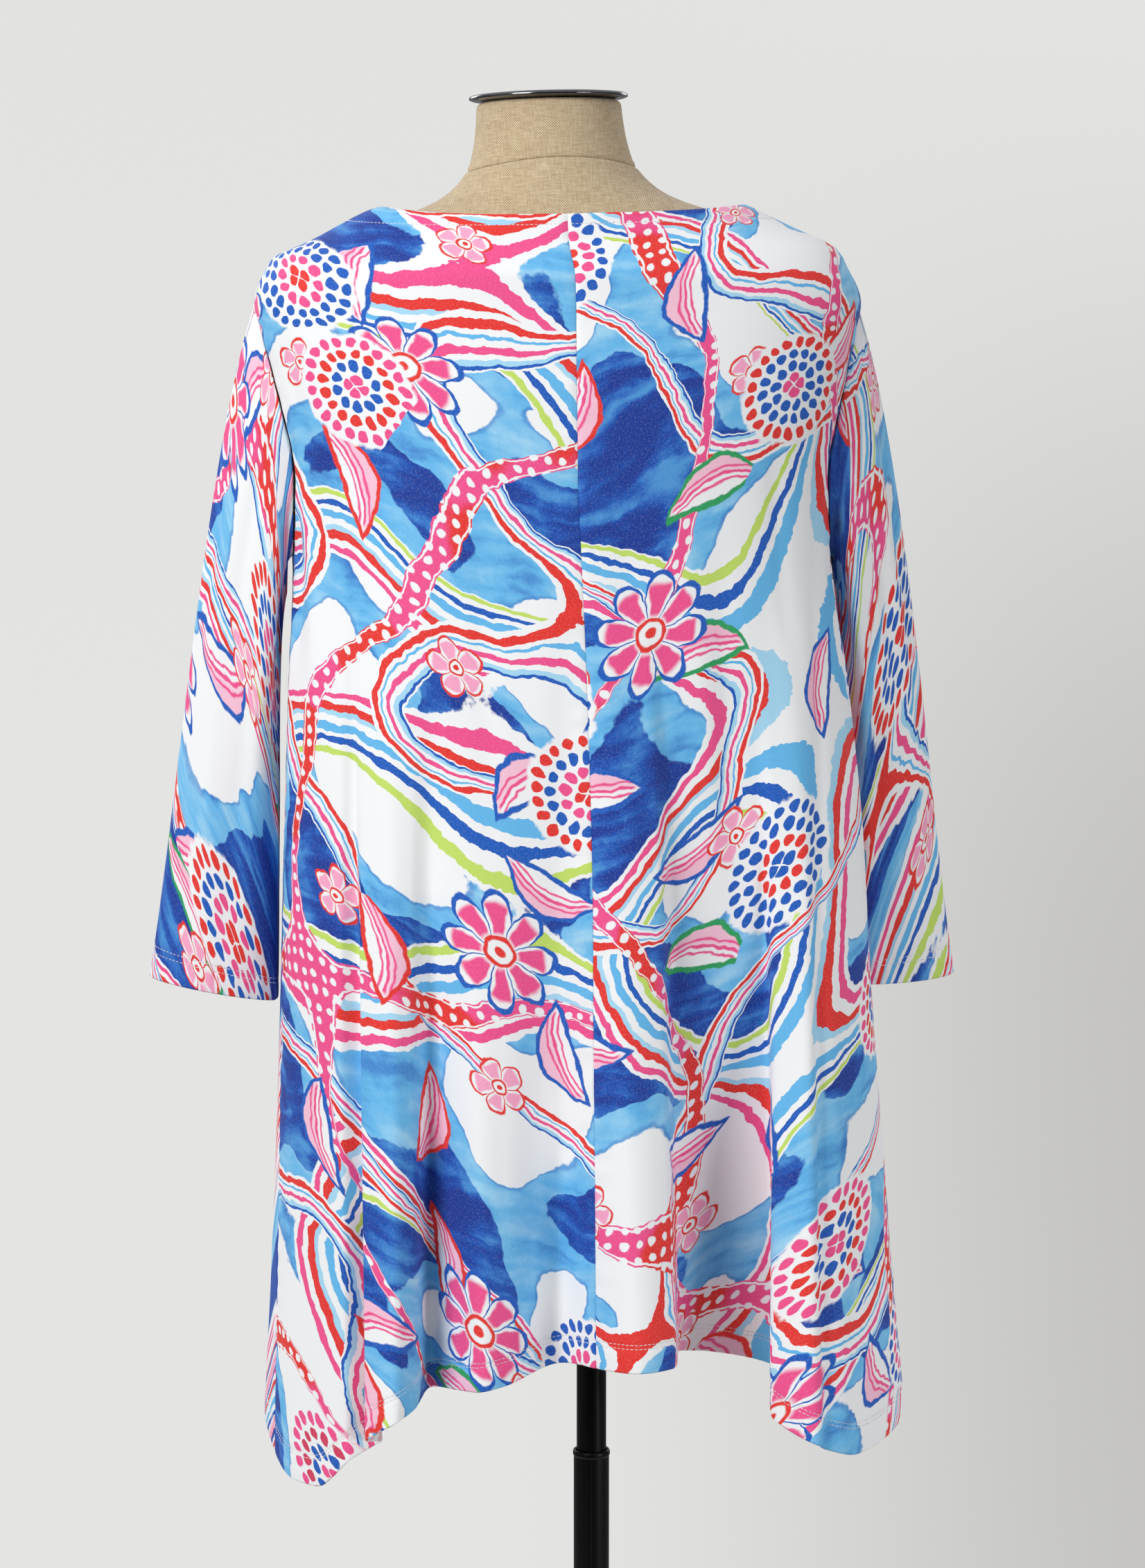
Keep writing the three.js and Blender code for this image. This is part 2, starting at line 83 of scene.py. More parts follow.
def curve(xs, ys, x):
    """Smooth curve through the points (xs, ys), level beyond its ends.

    The last axis of ys runs along xs. Between two points the height is a cubic whose end slopes
    are the harmonic means of the slopes of the spans that meet there, or 0 at a turning point.
    """
    x = np.clip(x, xs[0], xs[-1])
    ys = np.broadcast_to(ys, x.shape + xs.shape)
    steps = np.diff(ys) / np.diff(xs)
    before = np.concatenate([steps[..., :1], steps], -1)
    after = np.concatenate([steps, steps[..., -1:]], -1)
    same_way = before * after > 0
    slopes = np.where(same_way, 2 * before * after / np.where(same_way, before + after, 1), 0)
    low = np.clip(np.searchsorted(xs, x, side="right") - 1, 0, len(xs) - 2)

    def pick(values, at):
        return np.take_along_axis(values, at[..., None], -1)[..., 0]

    span = xs[low + 1] - xs[low]
    t = (x - xs[low]) / span
    rise = t * t * (3 - 2 * t)
    level = pick(ys, low) * (1 - rise) + pick(ys, low + 1) * rise
    lean = t * (1 - t) ** 2 * pick(slopes, low) - t * t * (1 - t) * pick(slopes, low + 1)
    return level + span * lean


def ease(low, high, value):
    """0 below low, 1 above high, and the smooth step 3t^2 - 2t^3 between them."""
    t = np.clip((value - low) / (high - low), 0, 1)
    return t * t * (3 - 2 * t)


def unit(vectors):
    """Vectors scaled to length 1."""
    return vectors / np.maximum(np.linalg.norm(vectors, axis=-1, keepdims=True), 1e-9)


def level_of(rows, name, height):
    """A column of a table of levels, read at a height."""
    order = np.argsort(rows["height"])
    return curve(rows["height"][order], rows[name][order], height)


# %% Tables of the form and of the hanging cloth, in millimetres
FORM_RINGS = table("height half back front mid square", [
    [830, 128, 68, 72, 6, 2.2],
    [833, 135, 75, 79, 6, 2.2],
    [844, 141, 80, 84, 6, 2.2],
    [880, 149, 85, 88, 6, 2.2],
    [930, 153, 87, 88, 5, 2.2],
    [1000, 146, 84, 86, 4, 2.2],
    [1085, 128, 80, 84, 2, 2.1],
    [1180, 140, 86, 98, 0, 2.1],
    [1270, 158, 92, 108, 0, 2.2],
    [1330, 176, 94, 105, 0, 2.2],
    [1380, 193, 93, 97, 2, 2.3],
    [1415, 203, 88, 88, 4, 2.3],
    [1442, 205, 81, 79, 5, 2.3],
    [1451, 203.5, 78, 76, 6, 2.3],
    [1458, 199, 76, 73, 6, 2.3],
    [1463, 189, 74.5, 71, 7, 2.2],
    [1469, 170, 73, 69, 7, 2.2],
    [1475.5, 150, 72, 67, 8, 2.1],
    [1482.6, 129, 71, 65, 9, 2.1],
    [1490.6, 103.4, 70, 63, 11, 2.05],
    [1498, 85, 68.5, 62, 13, 2],
    [1507, 72, 66, 61, 16, 2],
    [1516, 64, 63, 60, 19, 2],
    [1524, 59.5, 60.5, 59, 21, 2],
])
NECK_RINGS = table("height half back front mid square", [
    [1524, 59.2, 60.2, 58.7, 21, 2],
    [1532, 57, 58, 57, 22.5, 2],
    [1544, 54.6, 56, 55.5, 24.5, 2],
    [1558, 53, 54.5, 54, 26.5, 2],
    [1564, 52.6, 54, 53.6, 27.3, 2],
    [1567, 51.4, 52.8, 52.4, 27.7, 2],
    [1568.5, 48.5, 50, 49.5, 28, 2],
])
CLOTH_RINGS = table("height half back front mid middle", [
    [1480, 204, 92, 90, 4, -24.5],
    [1450, 211, 94, 94, 3, -24],
    [1424, 220, 97, 101, 2, -23.5],
    [1400, 216, 101, 109, 1, -24],
    [1350, 206, 108, 117, -1, -24.6],
    [1300, 196.5, 111, 122, -3, -24.6],
    [1240, 195.5, 113, 122, -5, -22.5],
    [1150, 203, 114, 118, -8, -18.5],
    [990, 214, 113, 114, -11, -13.2],
    [920, 217, 112, 113, -12, -12],
    [800, 223, 110, 111, -13, -9],
    [700, 228, 109, 109, -13, -6.5],
    [600, 234, 108, 108, -13, -3.5],
    [540, 236, 108, 108, -13, -2],
])
# Each fold's crest or hollow: its turn round the body from the centre back, its place and its
# height at the hem, and the height where it starts.
FOLDS = table("turn x y hem start", [
    [-170, -48, 86, 662, 1180],
    [-158, -84, 122, 656, 1240],
    [-146, -122, 76, 648, 1180],
    [-134, -158, 110, 640, 1220],
    [-122, -186, 68, 630, 1120],
    [-104, -240, 46, 606, 1000],
    [-90, -237, -14, 586, 900],
    [-76, -226, -52, 575, 1080],
    [-66, -211, -80, 577, 1240],
    [-55, -190, -107, 601, 1320],
    [-51, -166, -99, 613, 1290],
    [-47.5, -178, -126, 622, 1290],
    [-41, -160, -138, 635, 1300],
    [-36, -143, -122, 641, 1300],
    [-31, -126, -76, 646, 1200],
    [-27, -112, -105, 651, 1150],
    [-22, -95, -126, 654, 1150],
    [-17, -76, -118, 656, 1160],
    [-7, -37, -90, 664, 1200],
    [0, -14, -128, 669, 1250],
    [5, 14, -147, 669, 1250],
    [12, 43, -130, 668, 1240],
    [15.5, 57, -64, 664, 1230],
    [24, 88, -46, 657, 1200],
    [33, 128, -55, 648, 1200],
    [39, 114, -128, 628, 1220],
    [47, 149, -141, 610, 1300],
    [58, 184, -106, 595, 1300],
    [70, 212, -72, 599, 1200],
    [90, 231, -24, 611, 1000],
    [102, 227, 26, 619, 1050],
    [116, 198, 84, 628, 1120],
    [128, 160, 70, 636, 1180],
    [138, 140, 116, 645, 1240],
    [150, 100, 80, 652, 1180],
    [162, 62, 122, 658, 1240],
    [173, 26, 94, 662, 1160],
    [183, -8, 124, 664, 1220],
])
# How far round the back and the front panel reach at a level of the side seam and armhole.
SIDE_SEAM = table("height back front", [
    [1482.5, 90, 90],
    [1425, 90, 90],
    [1404, 83, 97],
    [1381, 78, 104],
    [1350, 75.5, 108],
    [1315, 76, 107],
    [1275, 81, 100],
    [1240, 90, 90],
    [650, 90, 90],
])
ARMHOLE_TOP = 1425
ARMHOLE_FOOT = 1240
NECKLINE = {"back": 1483.5, "left": 1484, "right": 1480.5, "front": 1428}
SLEEVES = {
    "sleeve_left": {"side": -1, "x": -276, "y": 24, "outer": 933, "inner": 917,
                    "wide": 48, "thick": 25, "turn": 15},
    "sleeve_right": {"side": 1, "x": 241, "y": 42, "outer": 922, "inner": 918,
                     "wide": 44, "thick": 26, "turn": 20},
}
print(len(FOLDS["turn"]), "folds round the hem")

# %% [markdown]
# ## The shape of the form
# Each level of the form is a superellipse, which is an ellipse with a power other than 2, so it
# can be a little squarer across the shoulders. The whole form leans slightly to the left.

# %% Form surface
FORM_FOOT = 830
FORM_LEAN = math.radians(1.45)
FORM_SHIFT = -9.5


def section(turn, half, back, front, mid, square, height):
    """A point of a level superellipse: x = half.s.k and y = mid - depth.c.k, where s and c are the
    sine and cosine of the turn from the centre back, and k = (|s|^n + |c|^n)^(-1/n)."""
    s, c = np.sin(turn), np.cos(turn)
    k = (np.abs(s) ** square + np.abs(c) ** square) ** (-1 / square)
    depth = np.where(c > 0, back, front)
    return np.stack(np.broadcast_arrays(half * s * k, mid - depth * c * k, height), -1)


def form_point(rows, turn, height):
    """A point of the upright form at a turn in radians and a height."""
    names = ("half", "back", "front", "mid", "square")
    return section(turn, *(level_of(rows, name, height) for name in names), height)


def leaned(points):
    """Points of the upright form, tipped to the left about the middle of its foot."""
    x, y, z = np.moveaxis(points, -1, 0)
    rise = z - FORM_FOOT
    c, s = math.cos(FORM_LEAN), math.sin(FORM_LEAN)
    return np.stack([x * c - rise * s + FORM_SHIFT, y, x * s + rise * c + FORM_FOOT], -1)


def form_normal(turn, height):
    """The outward direction of the upright form, from small steps round it and up it."""
    along = form_point(FORM_RINGS, turn + 0.01, height) - form_point(FORM_RINGS, turn - 0.01, height)
    up = form_point(FORM_RINGS, turn, height + 0.5) - form_point(FORM_RINGS, turn, height - 0.5)
    return unit(np.cross(along, up))


# %% [markdown]
# ## The shape of the hanging cloth
# Below the shoulders the jersey hangs free as a wide tube. The flare falls into folds: each one
# starts at its own height and opens towards the hem with a power of the depth, as real godet
# folds do. At the shoulders the tube blends into a surface that lies just off the form.

# %% Cloth surface
CLOTH_SQUARE = 2.35
FOLD_EASE = 1.4
CLOTH = 2
REST_GAP = 1.7
CORNER_LIFT = 8
SETTLE_TOP = 1465
SETTLE_END = 1440


def round_trip(values):
    """Adds the last value before the first and the first after the last, for a closed loop."""
    return np.concatenate([values[..., -1:], values, values[..., :1]], -1)


FOLD_TURNS = np.concatenate([FOLDS["turn"][-1:] - 360, FOLDS["turn"], FOLDS["turn"][:1] + 360])


def hem_height(turn):
    """Height of the hem at a turn in degrees."""
    return curve(FOLD_TURNS, round_trip(FOLDS["hem"]), turn)


def plain_point(turn, height):
    """The hanging tube without its folds."""
    names = ("half", "back", "front", "mid")
    half, back, front, mid = (level_of(CLOTH_RINGS, name, height) for name in names)
    point = section(np.radians(turn), half, back, front, mid, CLOTH_SQUARE, height)
    point[..., 0] += level_of(CLOTH_RINGS, "middle", height)
    return point


HEM_PLAIN = plain_point(FOLDS["turn"], FOLDS["hem"])
FOLD_SHIFT_X = FOLDS["x"] - HEM_PLAIN[:, 0]
FOLD_SHIFT_Y = FOLDS["y"] - HEM_PLAIN[:, 1]


def cloth_point(turn, height):
    """The outer face of the body: the plain tube, moved by its folds, and eased onto the form."""
    depth = (FOLDS["start"] - height[..., None]) / (FOLDS["start"] - FOLDS["hem"])
    strength = np.maximum(depth, 0) ** FOLD_EASE
    free = plain_point(turn, height)
    free[..., 0] += curve(FOLD_TURNS, round_trip(FOLD_SHIFT_X * strength), turn)
    free[..., 1] += curve(FOLD_TURNS, round_trip(FOLD_SHIFT_Y * strength), turn)
    angle = np.radians(turn)
    lift = CORNER_LIFT * ease(1462, 1484, height) * np.abs(np.sin(angle)) ** 4
    away = (CLOTH + REST_GAP + lift)[..., None] * form_normal(angle, height)
    resting = leaned(form_point(FORM_RINGS, angle, height) + away)
    settled = ease(SETTLE_END, SETTLE_TOP, height)[..., None]
    return free * (1 - settled) + resting * settled


def neckline(turn):
    """Height of the neck edge: nearly level behind, a scoop in front."""
    reach = np.minimum(np.abs(turn), 360 - np.abs(turn))
    corner = np.where((turn > 0) & (turn < 180), NECKLINE["right"], NECKLINE["left"])
    behind = NECKLINE["back"] + (corner - NECKLINE["back"]) * ease(10, 90, reach)
    scoop = np.clip((180 - reach) / 90, 0, 1) ** 2.4
    return np.where(reach <= 90, behind, NECKLINE["front"] + (corner - NECKLINE["front"]) * scoop)


# %% [markdown]
# ## Grids of points and how they become cloth
# A panel is a grid: its rows run round the body and its columns run down it. The outward
# direction at each point is the cross product of the steps along the row and the column. The
# wall is closed by a rounded rim, so a hem edge catches the light as folded cloth does.

# %% Grid helpers
def steps_along(grid, axis, wraps=False):
    """Central differences of a grid along an axis, closed on itself if it wraps."""
    if wraps:
        return np.roll(grid, -1, axis) - np.roll(grid, 1, axis)
    return np.gradient(grid, axis=axis)


def outward(grid, side=1, wraps=False):
    """Unit normals of a grid whose rows run down and whose columns run round."""
    across = steps_along(grid, 1, wraps)
    down = steps_along(grid, 0)
    return side * unit(np.cross(down, across))


def walked(grid, axis):
    """Distance walked along an axis of the grid from its start."""
    lengths = np.linalg.norm(np.diff(grid, axis=axis), axis=-1)
    start = np.zeros_like(np.take(lengths, [0], axis))
    return np.concatenate([start, np.cumsum(lengths, axis)], axis)


def quads(index):
    """The four corners of each cell of a grid of point numbers."""
    corners = [index[:-1, :-1], index[1:, :-1], index[1:, 1:], index[:-1, 1:]]
    return np.stack(corners, -1).reshape(-1, 4)


def volume_of(points, faces):
    """Six times the signed volume inside quads, which is negative if they face inwards."""
    a, b, c, d = (points[faces[:, k]] for k in range(4))
    return np.sum(a * np.cross(b, c)) + np.sum(a * np.cross(c, d))


def add_piece(name, points, faces, corner_uv=None, sharp=70):
    """Makes an object at the origin from points in millimetres, with its place in its mesh."""
    mesh = bpy.data.meshes.new(name)
    mesh.from_pydata((points * MM).tolist(), [], [f for part in faces for f in part.tolist()])
    if corner_uv is not None:
        layer = mesh.uv_layers.new(name="cloth")
        layer.uv.foreach_set("vector", (corner_uv * MM).astype(np.float32).ravel())
    mesh.shade_smooth()
    mesh.set_sharp_from_angle(angle=math.radians(sharp))
    piece = bpy.data.objects.new(name, mesh)
    bpy.context.scene.collection.objects.link(piece)
    return piece


RIM_BULGE = 0.35  # how far a rim rounds out, in wall thicknesses


def wall(name, outer, inner, flat, wraps=False):
    """A closed wall between two grids. Its rim lies half way between them, pushed outwards by
    RIM_BULGE times the wall. flat holds each point's place on the flat cloth. Inner faces take
    the second material."""
    rows, columns = outer.shape[:2]
    middle = (outer + inner) / 2
    bulge = RIM_BULGE * np.linalg.norm(outer - inner, axis=-1, keepdims=True)
    side_pad = 0 if wraps else 1
    skin = np.pad(outer, ((1, 1), (side_pad, side_pad), (0, 0)), mode="edge")
    across = slice(None) if wraps else slice(1, -1)
    skin[0, across] = middle[0] + unit(outer[0] - outer[1]) * bulge[0]
    skin[-1, across] = middle[-1] + unit(outer[-1] - outer[-2]) * bulge[-1]
    if not wraps:
        skin[1:-1, 0] = middle[:, 0] + unit(outer[:, 0] - outer[:, 1]) * bulge[:, 0]
        skin[1:-1, -1] = middle[:, -1] + unit(outer[:, -1] - outer[:, -2]) * bulge[:, -1]
        for i, j in ((0, 0), (0, -1), (-1, 0), (-1, -1)):
            beside = 1 if j == 0 else -2
            below = 1 if i == 0 else -2
            skin[i, j] = (skin[i, beside] + skin[below, j]) / 2
    index = np.arange(skin.shape[0] * skin.shape[1]).reshape(skin.shape[:2])
    inside = index.copy()
    inside[1:-1, across] = index.size + np.arange(rows * columns).reshape(rows, columns)
    flat = np.pad(flat, ((1, 1), (side_pad, side_pad), (0, 0)), mode="edge")
    if wraps:
        index = np.concatenate([index, index[:, :1]], 1)
        inside = np.concatenate([inside, inside[:, :1]], 1)
    points = np.concatenate([skin.reshape(-1, 3), inner.reshape(-1, 3)])
    faces = np.concatenate([quads(index), quads(inside)[:, ::-1]])
    spots = quads(np.arange(flat.shape[0] * flat.shape[1]).reshape(flat.shape[:2]))
    spots = np.concatenate([spots, spots[:, ::-1]])
    if volume_of(points, faces) < 0:
        faces, spots = faces[:, ::-1], spots[:, ::-1]
    piece = add_piece(name, points, [faces], flat.reshape(-1, 2)[spots])
    inner_faces = np.arange(len(faces)) >= len(faces) // 2
    piece.data.polygons.foreach_set("material_index", inner_faces.astype(np.int32))
    return piece

# %% [markdown]
# ## The body panels
# The top is cut as two backs, joined by a centre back seam, and one front. Rows crowd together
# at the neck edge and the hem, where stitching dents the cloth, and columns crowd together at the
# seams, where the edges turn in. Smaller creases than the folds are soft troughs and ridges,
# listed one by one: each has its turn, its top and lower end, its depth, its width and its slant.

# %% Body panels
NECK_STITCH = 7  # below the neck edge
HEM_STITCHES = (17.4, 20.4)  # above the hem
HEM_FOLD = 23  # depth of the turned hem
THIN_CLOTH = 1.3
SEAM_GAP = 0.3
REFERENCE_TOP = 1482.5
REFERENCE_HEM = 650
LENGTH = REFERENCE_TOP - REFERENCE_HEM

CREASES = table("turn top low depth width slant", [
    [-84, 1300, 1000, 2.5, 4.0, 0.010],
    [-79, 1395, 1130, -2.6, 3.6, 0.022],
    [-69, 1380, 1100, 1.8, 3.0, 0.018],
    [-64, 1410, 1180, -1.7, 2.8, 0.012],
    [-57, 1340, 1080, -1.6, 3.2, -0.006],
    [-33, 1330, 1010, 1.5, 3.4, 0.004],
    [-21, 1300, 980, -1.6, 3.0, 0.006],
    [-8, 1260, 900, 1.6, 3.6, -0.006],
    [9, 1330, 1080, -1.2, 3.8, 0.006],
    [21, 1300, 930, 1.7, 3.2, 0.012],
    [30, 1290, 960, -1.8, 3.0, -0.008],
    [44, 1360, 1120, -1.6, 3.4, 0.012],
    [46, 1130, 250, 3.0, 2.4, -0.002],
    [51, 1160, 250, -6.5, 2.2, -0.004],
    [58, 1250, 960, -3.0, 2.2, -0.030],
    [64, 1400, 1180, -1.9, 3.2, -0.020],
    [76, 1380, 1080, -2.6, 3.6, -0.018],
    [83, 1250, 960, 2.3, 4.0, -0.006],
    [106, 1340, 1060, -2.4, 4.4, 0.014],
    [121, 1400, 1150, -2.0, 4.0, 0.020],
    [134, 1320, 1000, 1.9, 4.2, -0.010],
    [147, 1350, 1050, -1.8, 3.8, 0.010],
    [158, 1290, 960, 1.6, 3.6, 0.006],
    [170, 1330, 1020, -1.7, 4.0, -0.012],
    [-176, 1300, 950, 1.6, 3.6, 0.008],
    [-163, 1340, 1040, -1.9, 4.0, 0.012],
    [-150, 1310, 980, 1.7, 3.8, -0.012],
    [-138, 1370, 1090, -2.0, 3.6, -0.010],
    [-124, 1400, 1160, -2.0, 4.0, -0.018],
    [-108, 1330, 1040, 2.2, 4.4, -0.012],
])


def crease_height(turn, height):
    """Sum of troughs and ridges: depth times a bell curve across, eased in and out along it."""
    total = np.zeros(np.broadcast(turn, height).shape)
    for k in range(len(CREASES["turn"])):
        row = {name: values[k] for name, values in CREASES.items()}
        centre = row["turn"] + row["slant"] * (row["top"] - height)
        reach = 0.4 * (row["top"] - row["low"])
        along = ease(row["low"], row["low"] + reach, height)
        along = along * ease(-row["top"], reach - row["top"], -height)
        offset = (turn - centre + 180) % 360 - 180
        total += row["depth"] * np.exp(-((offset / row["width"]) ** 2)) * along
    return total


def crowded(count, edges):
    """Shares from 0 to 1 at even steps, with extra ones at given shares from each end."""
    edges = np.array(edges, float)
    even = np.linspace(edges[-1] * 1.6, 1 - edges[-1] * 1.6, count)
    return np.concatenate([[0], edges, even, 1 - edges[::-1], [1]])


NECK_ROWS = np.array([1.5, 4, 6.2, NECK_STITCH, 7.8, 10, 14]) / LENGTH
HEM_ROWS = np.array([28, 24.5, HEM_FOLD, 21.4, HEM_STITCHES[1], 18.9, HEM_STITCHES[0], 16.2,
                     13, 9, 5, 2.2, 0.8]) / LENGTH


def body_rows(count):
    """Shares of the length from the neck edge, 0, to the hem, 1."""
    even = np.linspace(NECK_ROWS[-1] * 1.25, 1 - HEM_ROWS[0] * 1.15, count)
    return np.concatenate([[0], NECK_ROWS, even, 1 - HEM_ROWS, [1]])


def bell(distance, width):
    """A bell curve: 1 at distance 0, and near 0 beyond two widths."""
    return np.exp(-((distance / width) ** 2))


def body_surface(turn, share):
    """A point of the body cloth for a turn and a share of the length."""
    height = neckline(turn) * (1 - share) + hem_height(turn) * share
    return cloth_point(turn, height), height


def body_panel(name, turns_at, columns, rows, seam_ripple, flat_start, from_right):
    """Builds a panel between the two turns that turns_at gives at each level.

    The outer face is the body surface plus its creases, less a dip of 0.9 mm at each seam and of
    0.35 mm at each row of stitches. The wall doubles where the hem and the neck edge are turned.
    """
    share = body_rows(rows)[:, None]
    level = REFERENCE_TOP - LENGTH * share
    first, last = turns_at(level)
    across = crowded(columns, [0.004, 0.009, 0.016])[None, :]
    turn = first + (last - first) * across
    turn = np.where(turn > FOLDS["turn"][-1], turn - 360, turn)
    share = np.broadcast_to(share, turn.shape)
    base, height = body_surface(turn, share)
    normals = outward(base)
    along = walked(base, 1)
    from_seam = np.minimum(along, along[:, -1:] - along)
    from_hem = (1 - share) * LENGTH
    from_neck = share * LENGTH
    relief = crease_height(turn, height) * ease(0, 24, from_seam)
    relief -= 0.9 * bell(from_seam, 2.2)
    for line in HEM_STITCHES:
        relief -= 0.35 * bell(from_hem - line, 0.9)
    relief -= 0.35 * bell(from_neck - NECK_STITCH, 0.9) + 0.25 * bell(from_hem, 2.5)
    pucker = np.sin(along * 0.61 + 2 * np.sin(along * 0.13)) * bell(from_hem - 12, 12)
    seam_wave = np.sin(height * 0.29 + 1.7 * np.sin(height * 0.061)) * bell(from_seam - 7, 6)
    relief += 0.22 * pucker + seam_ripple * seam_wave * ease(20, 70, from_hem)
    outer = base + normals * relief[..., None]
    outer[:, 0] += unit(outer[:, 1] - outer[:, 0]) * SEAM_GAP / 2
    outer[:, -1] += unit(outer[:, -2] - outer[:, -1]) * SEAM_GAP / 2
    turned = ease(-HEM_FOLD - 1.5, -HEM_FOLD, -from_hem) + ease(-NECK_STITCH - 3.5, -NECK_STITCH - 2, -from_neck)
    inner = outer - outward(outer) * (THIN_CLOTH * (1 + 0.8 * turned))[..., None]
    u = walked(base, 1)
    if from_right:
        u = u - u[:, -1:]
    flat = np.stack([u + flat_start, -walked(base, 0)], -1)
    piece = wall(name, outer, inner, flat)
    print(name, "width", round(float(along[0, -1])), "to", round(float(along[-1, -1])),
          "length", round(float(walked(base, 0)[-1].max())), "mm,", len(piece.data.polygons), "faces")
    return piece, {"outer": outer, "share": share, "along": along, "base": base}


def reach(name, level):
    return curve(SIDE_SEAM["height"][::-1], SIDE_SEAM[name][::-1], level)


back_left, left_grid = body_panel(
    "tunic_back_left", lambda level: (-reach("back", level), 0 * level), 150, 176, 0.45, 0, True)
back_right, right_grid = body_panel(
    "tunic_back_right", lambda level: (0 * level, reach("back", level)), 150, 176, 0.45, 1130, False)
front, front_grid = body_panel(
    "tunic_front", lambda level: (reach("front", level), 360 - reach("front", level)),
    200, 150, 0.2, 2450, False)

# %% [markdown]
# ## The sleeves
# A sleeve is a tube from the closed line of its armhole to a flattened cuff ring. Along the arm
# each point follows a cubic that leaves the armhole outwards and arrives at the cuff, so the
# dropped shoulder rounds over as it does on the hanging top.

# %% Sleeves
SLEEVE_GAP = 4
CUFF_STITCHES = (16.5, 20.8)  # above the cuff's edge
CUFF_ROWS = np.array([26, 23.5, 22.4, CUFF_STITCHES[1], 18.8, CUFF_STITCHES[0], 15, 12, 8, 4, 1.8, 0.7])
SLEEVE_CREASES = table("around start end depth width", [
    [35, 0.05, 0.75, -2.2, 12],
    [62, 0.20, 1.02, 2.2, 13],
    [88, 0.02, 0.62, -2.4, 11],
    [112, 0.30, 1.05, -2.0, 12],
    [138, 0.04, 0.50, 2.6, 12],
    [160, 0.10, 0.85, -1.8, 10],
    [205, 0.05, 0.60, -2.2, 12],
    [238, 0.15, 0.90, 2.2, 13],
    [270, 0.04, 0.66, -2.4, 12],
    [305, 0.25, 1.02, 2.0, 14],
    [335, 0.08, 0.70, -2.0, 12],
])


def armhole_line(side, around):
    """The armhole as a closed line: down the back panel's edge, then up the front panel's."""
    down = np.where(around <= math.pi, around, 2 * math.pi - around) / math.pi
    level = curve(np.linspace(0, 1, 7), np.array([1425, 1404, 1381, 1350, 1315, 1275, 1240.0]), down)
    turn = side * np.where(around <= math.pi, reach("back", level), reach("front", level))
    return body_surface(turn, (REFERENCE_TOP - level) / LENGTH)[0]


def body_reach(y, height, side):
    """How far out the plain body tube reaches at a depth and a height."""
    half, back, fore, mid, middle = (
        level_of(CLOTH_RINGS, name, height) for name in ("half", "back", "front", "mid", "middle"))
    depth = np.where(y < mid, back, fore)
    rest = np.clip(1 - np.abs((y - mid) / depth) ** CLOTH_SQUARE, 0, 1)
    return middle + side * half * rest ** (1 / CLOTH_SQUARE)


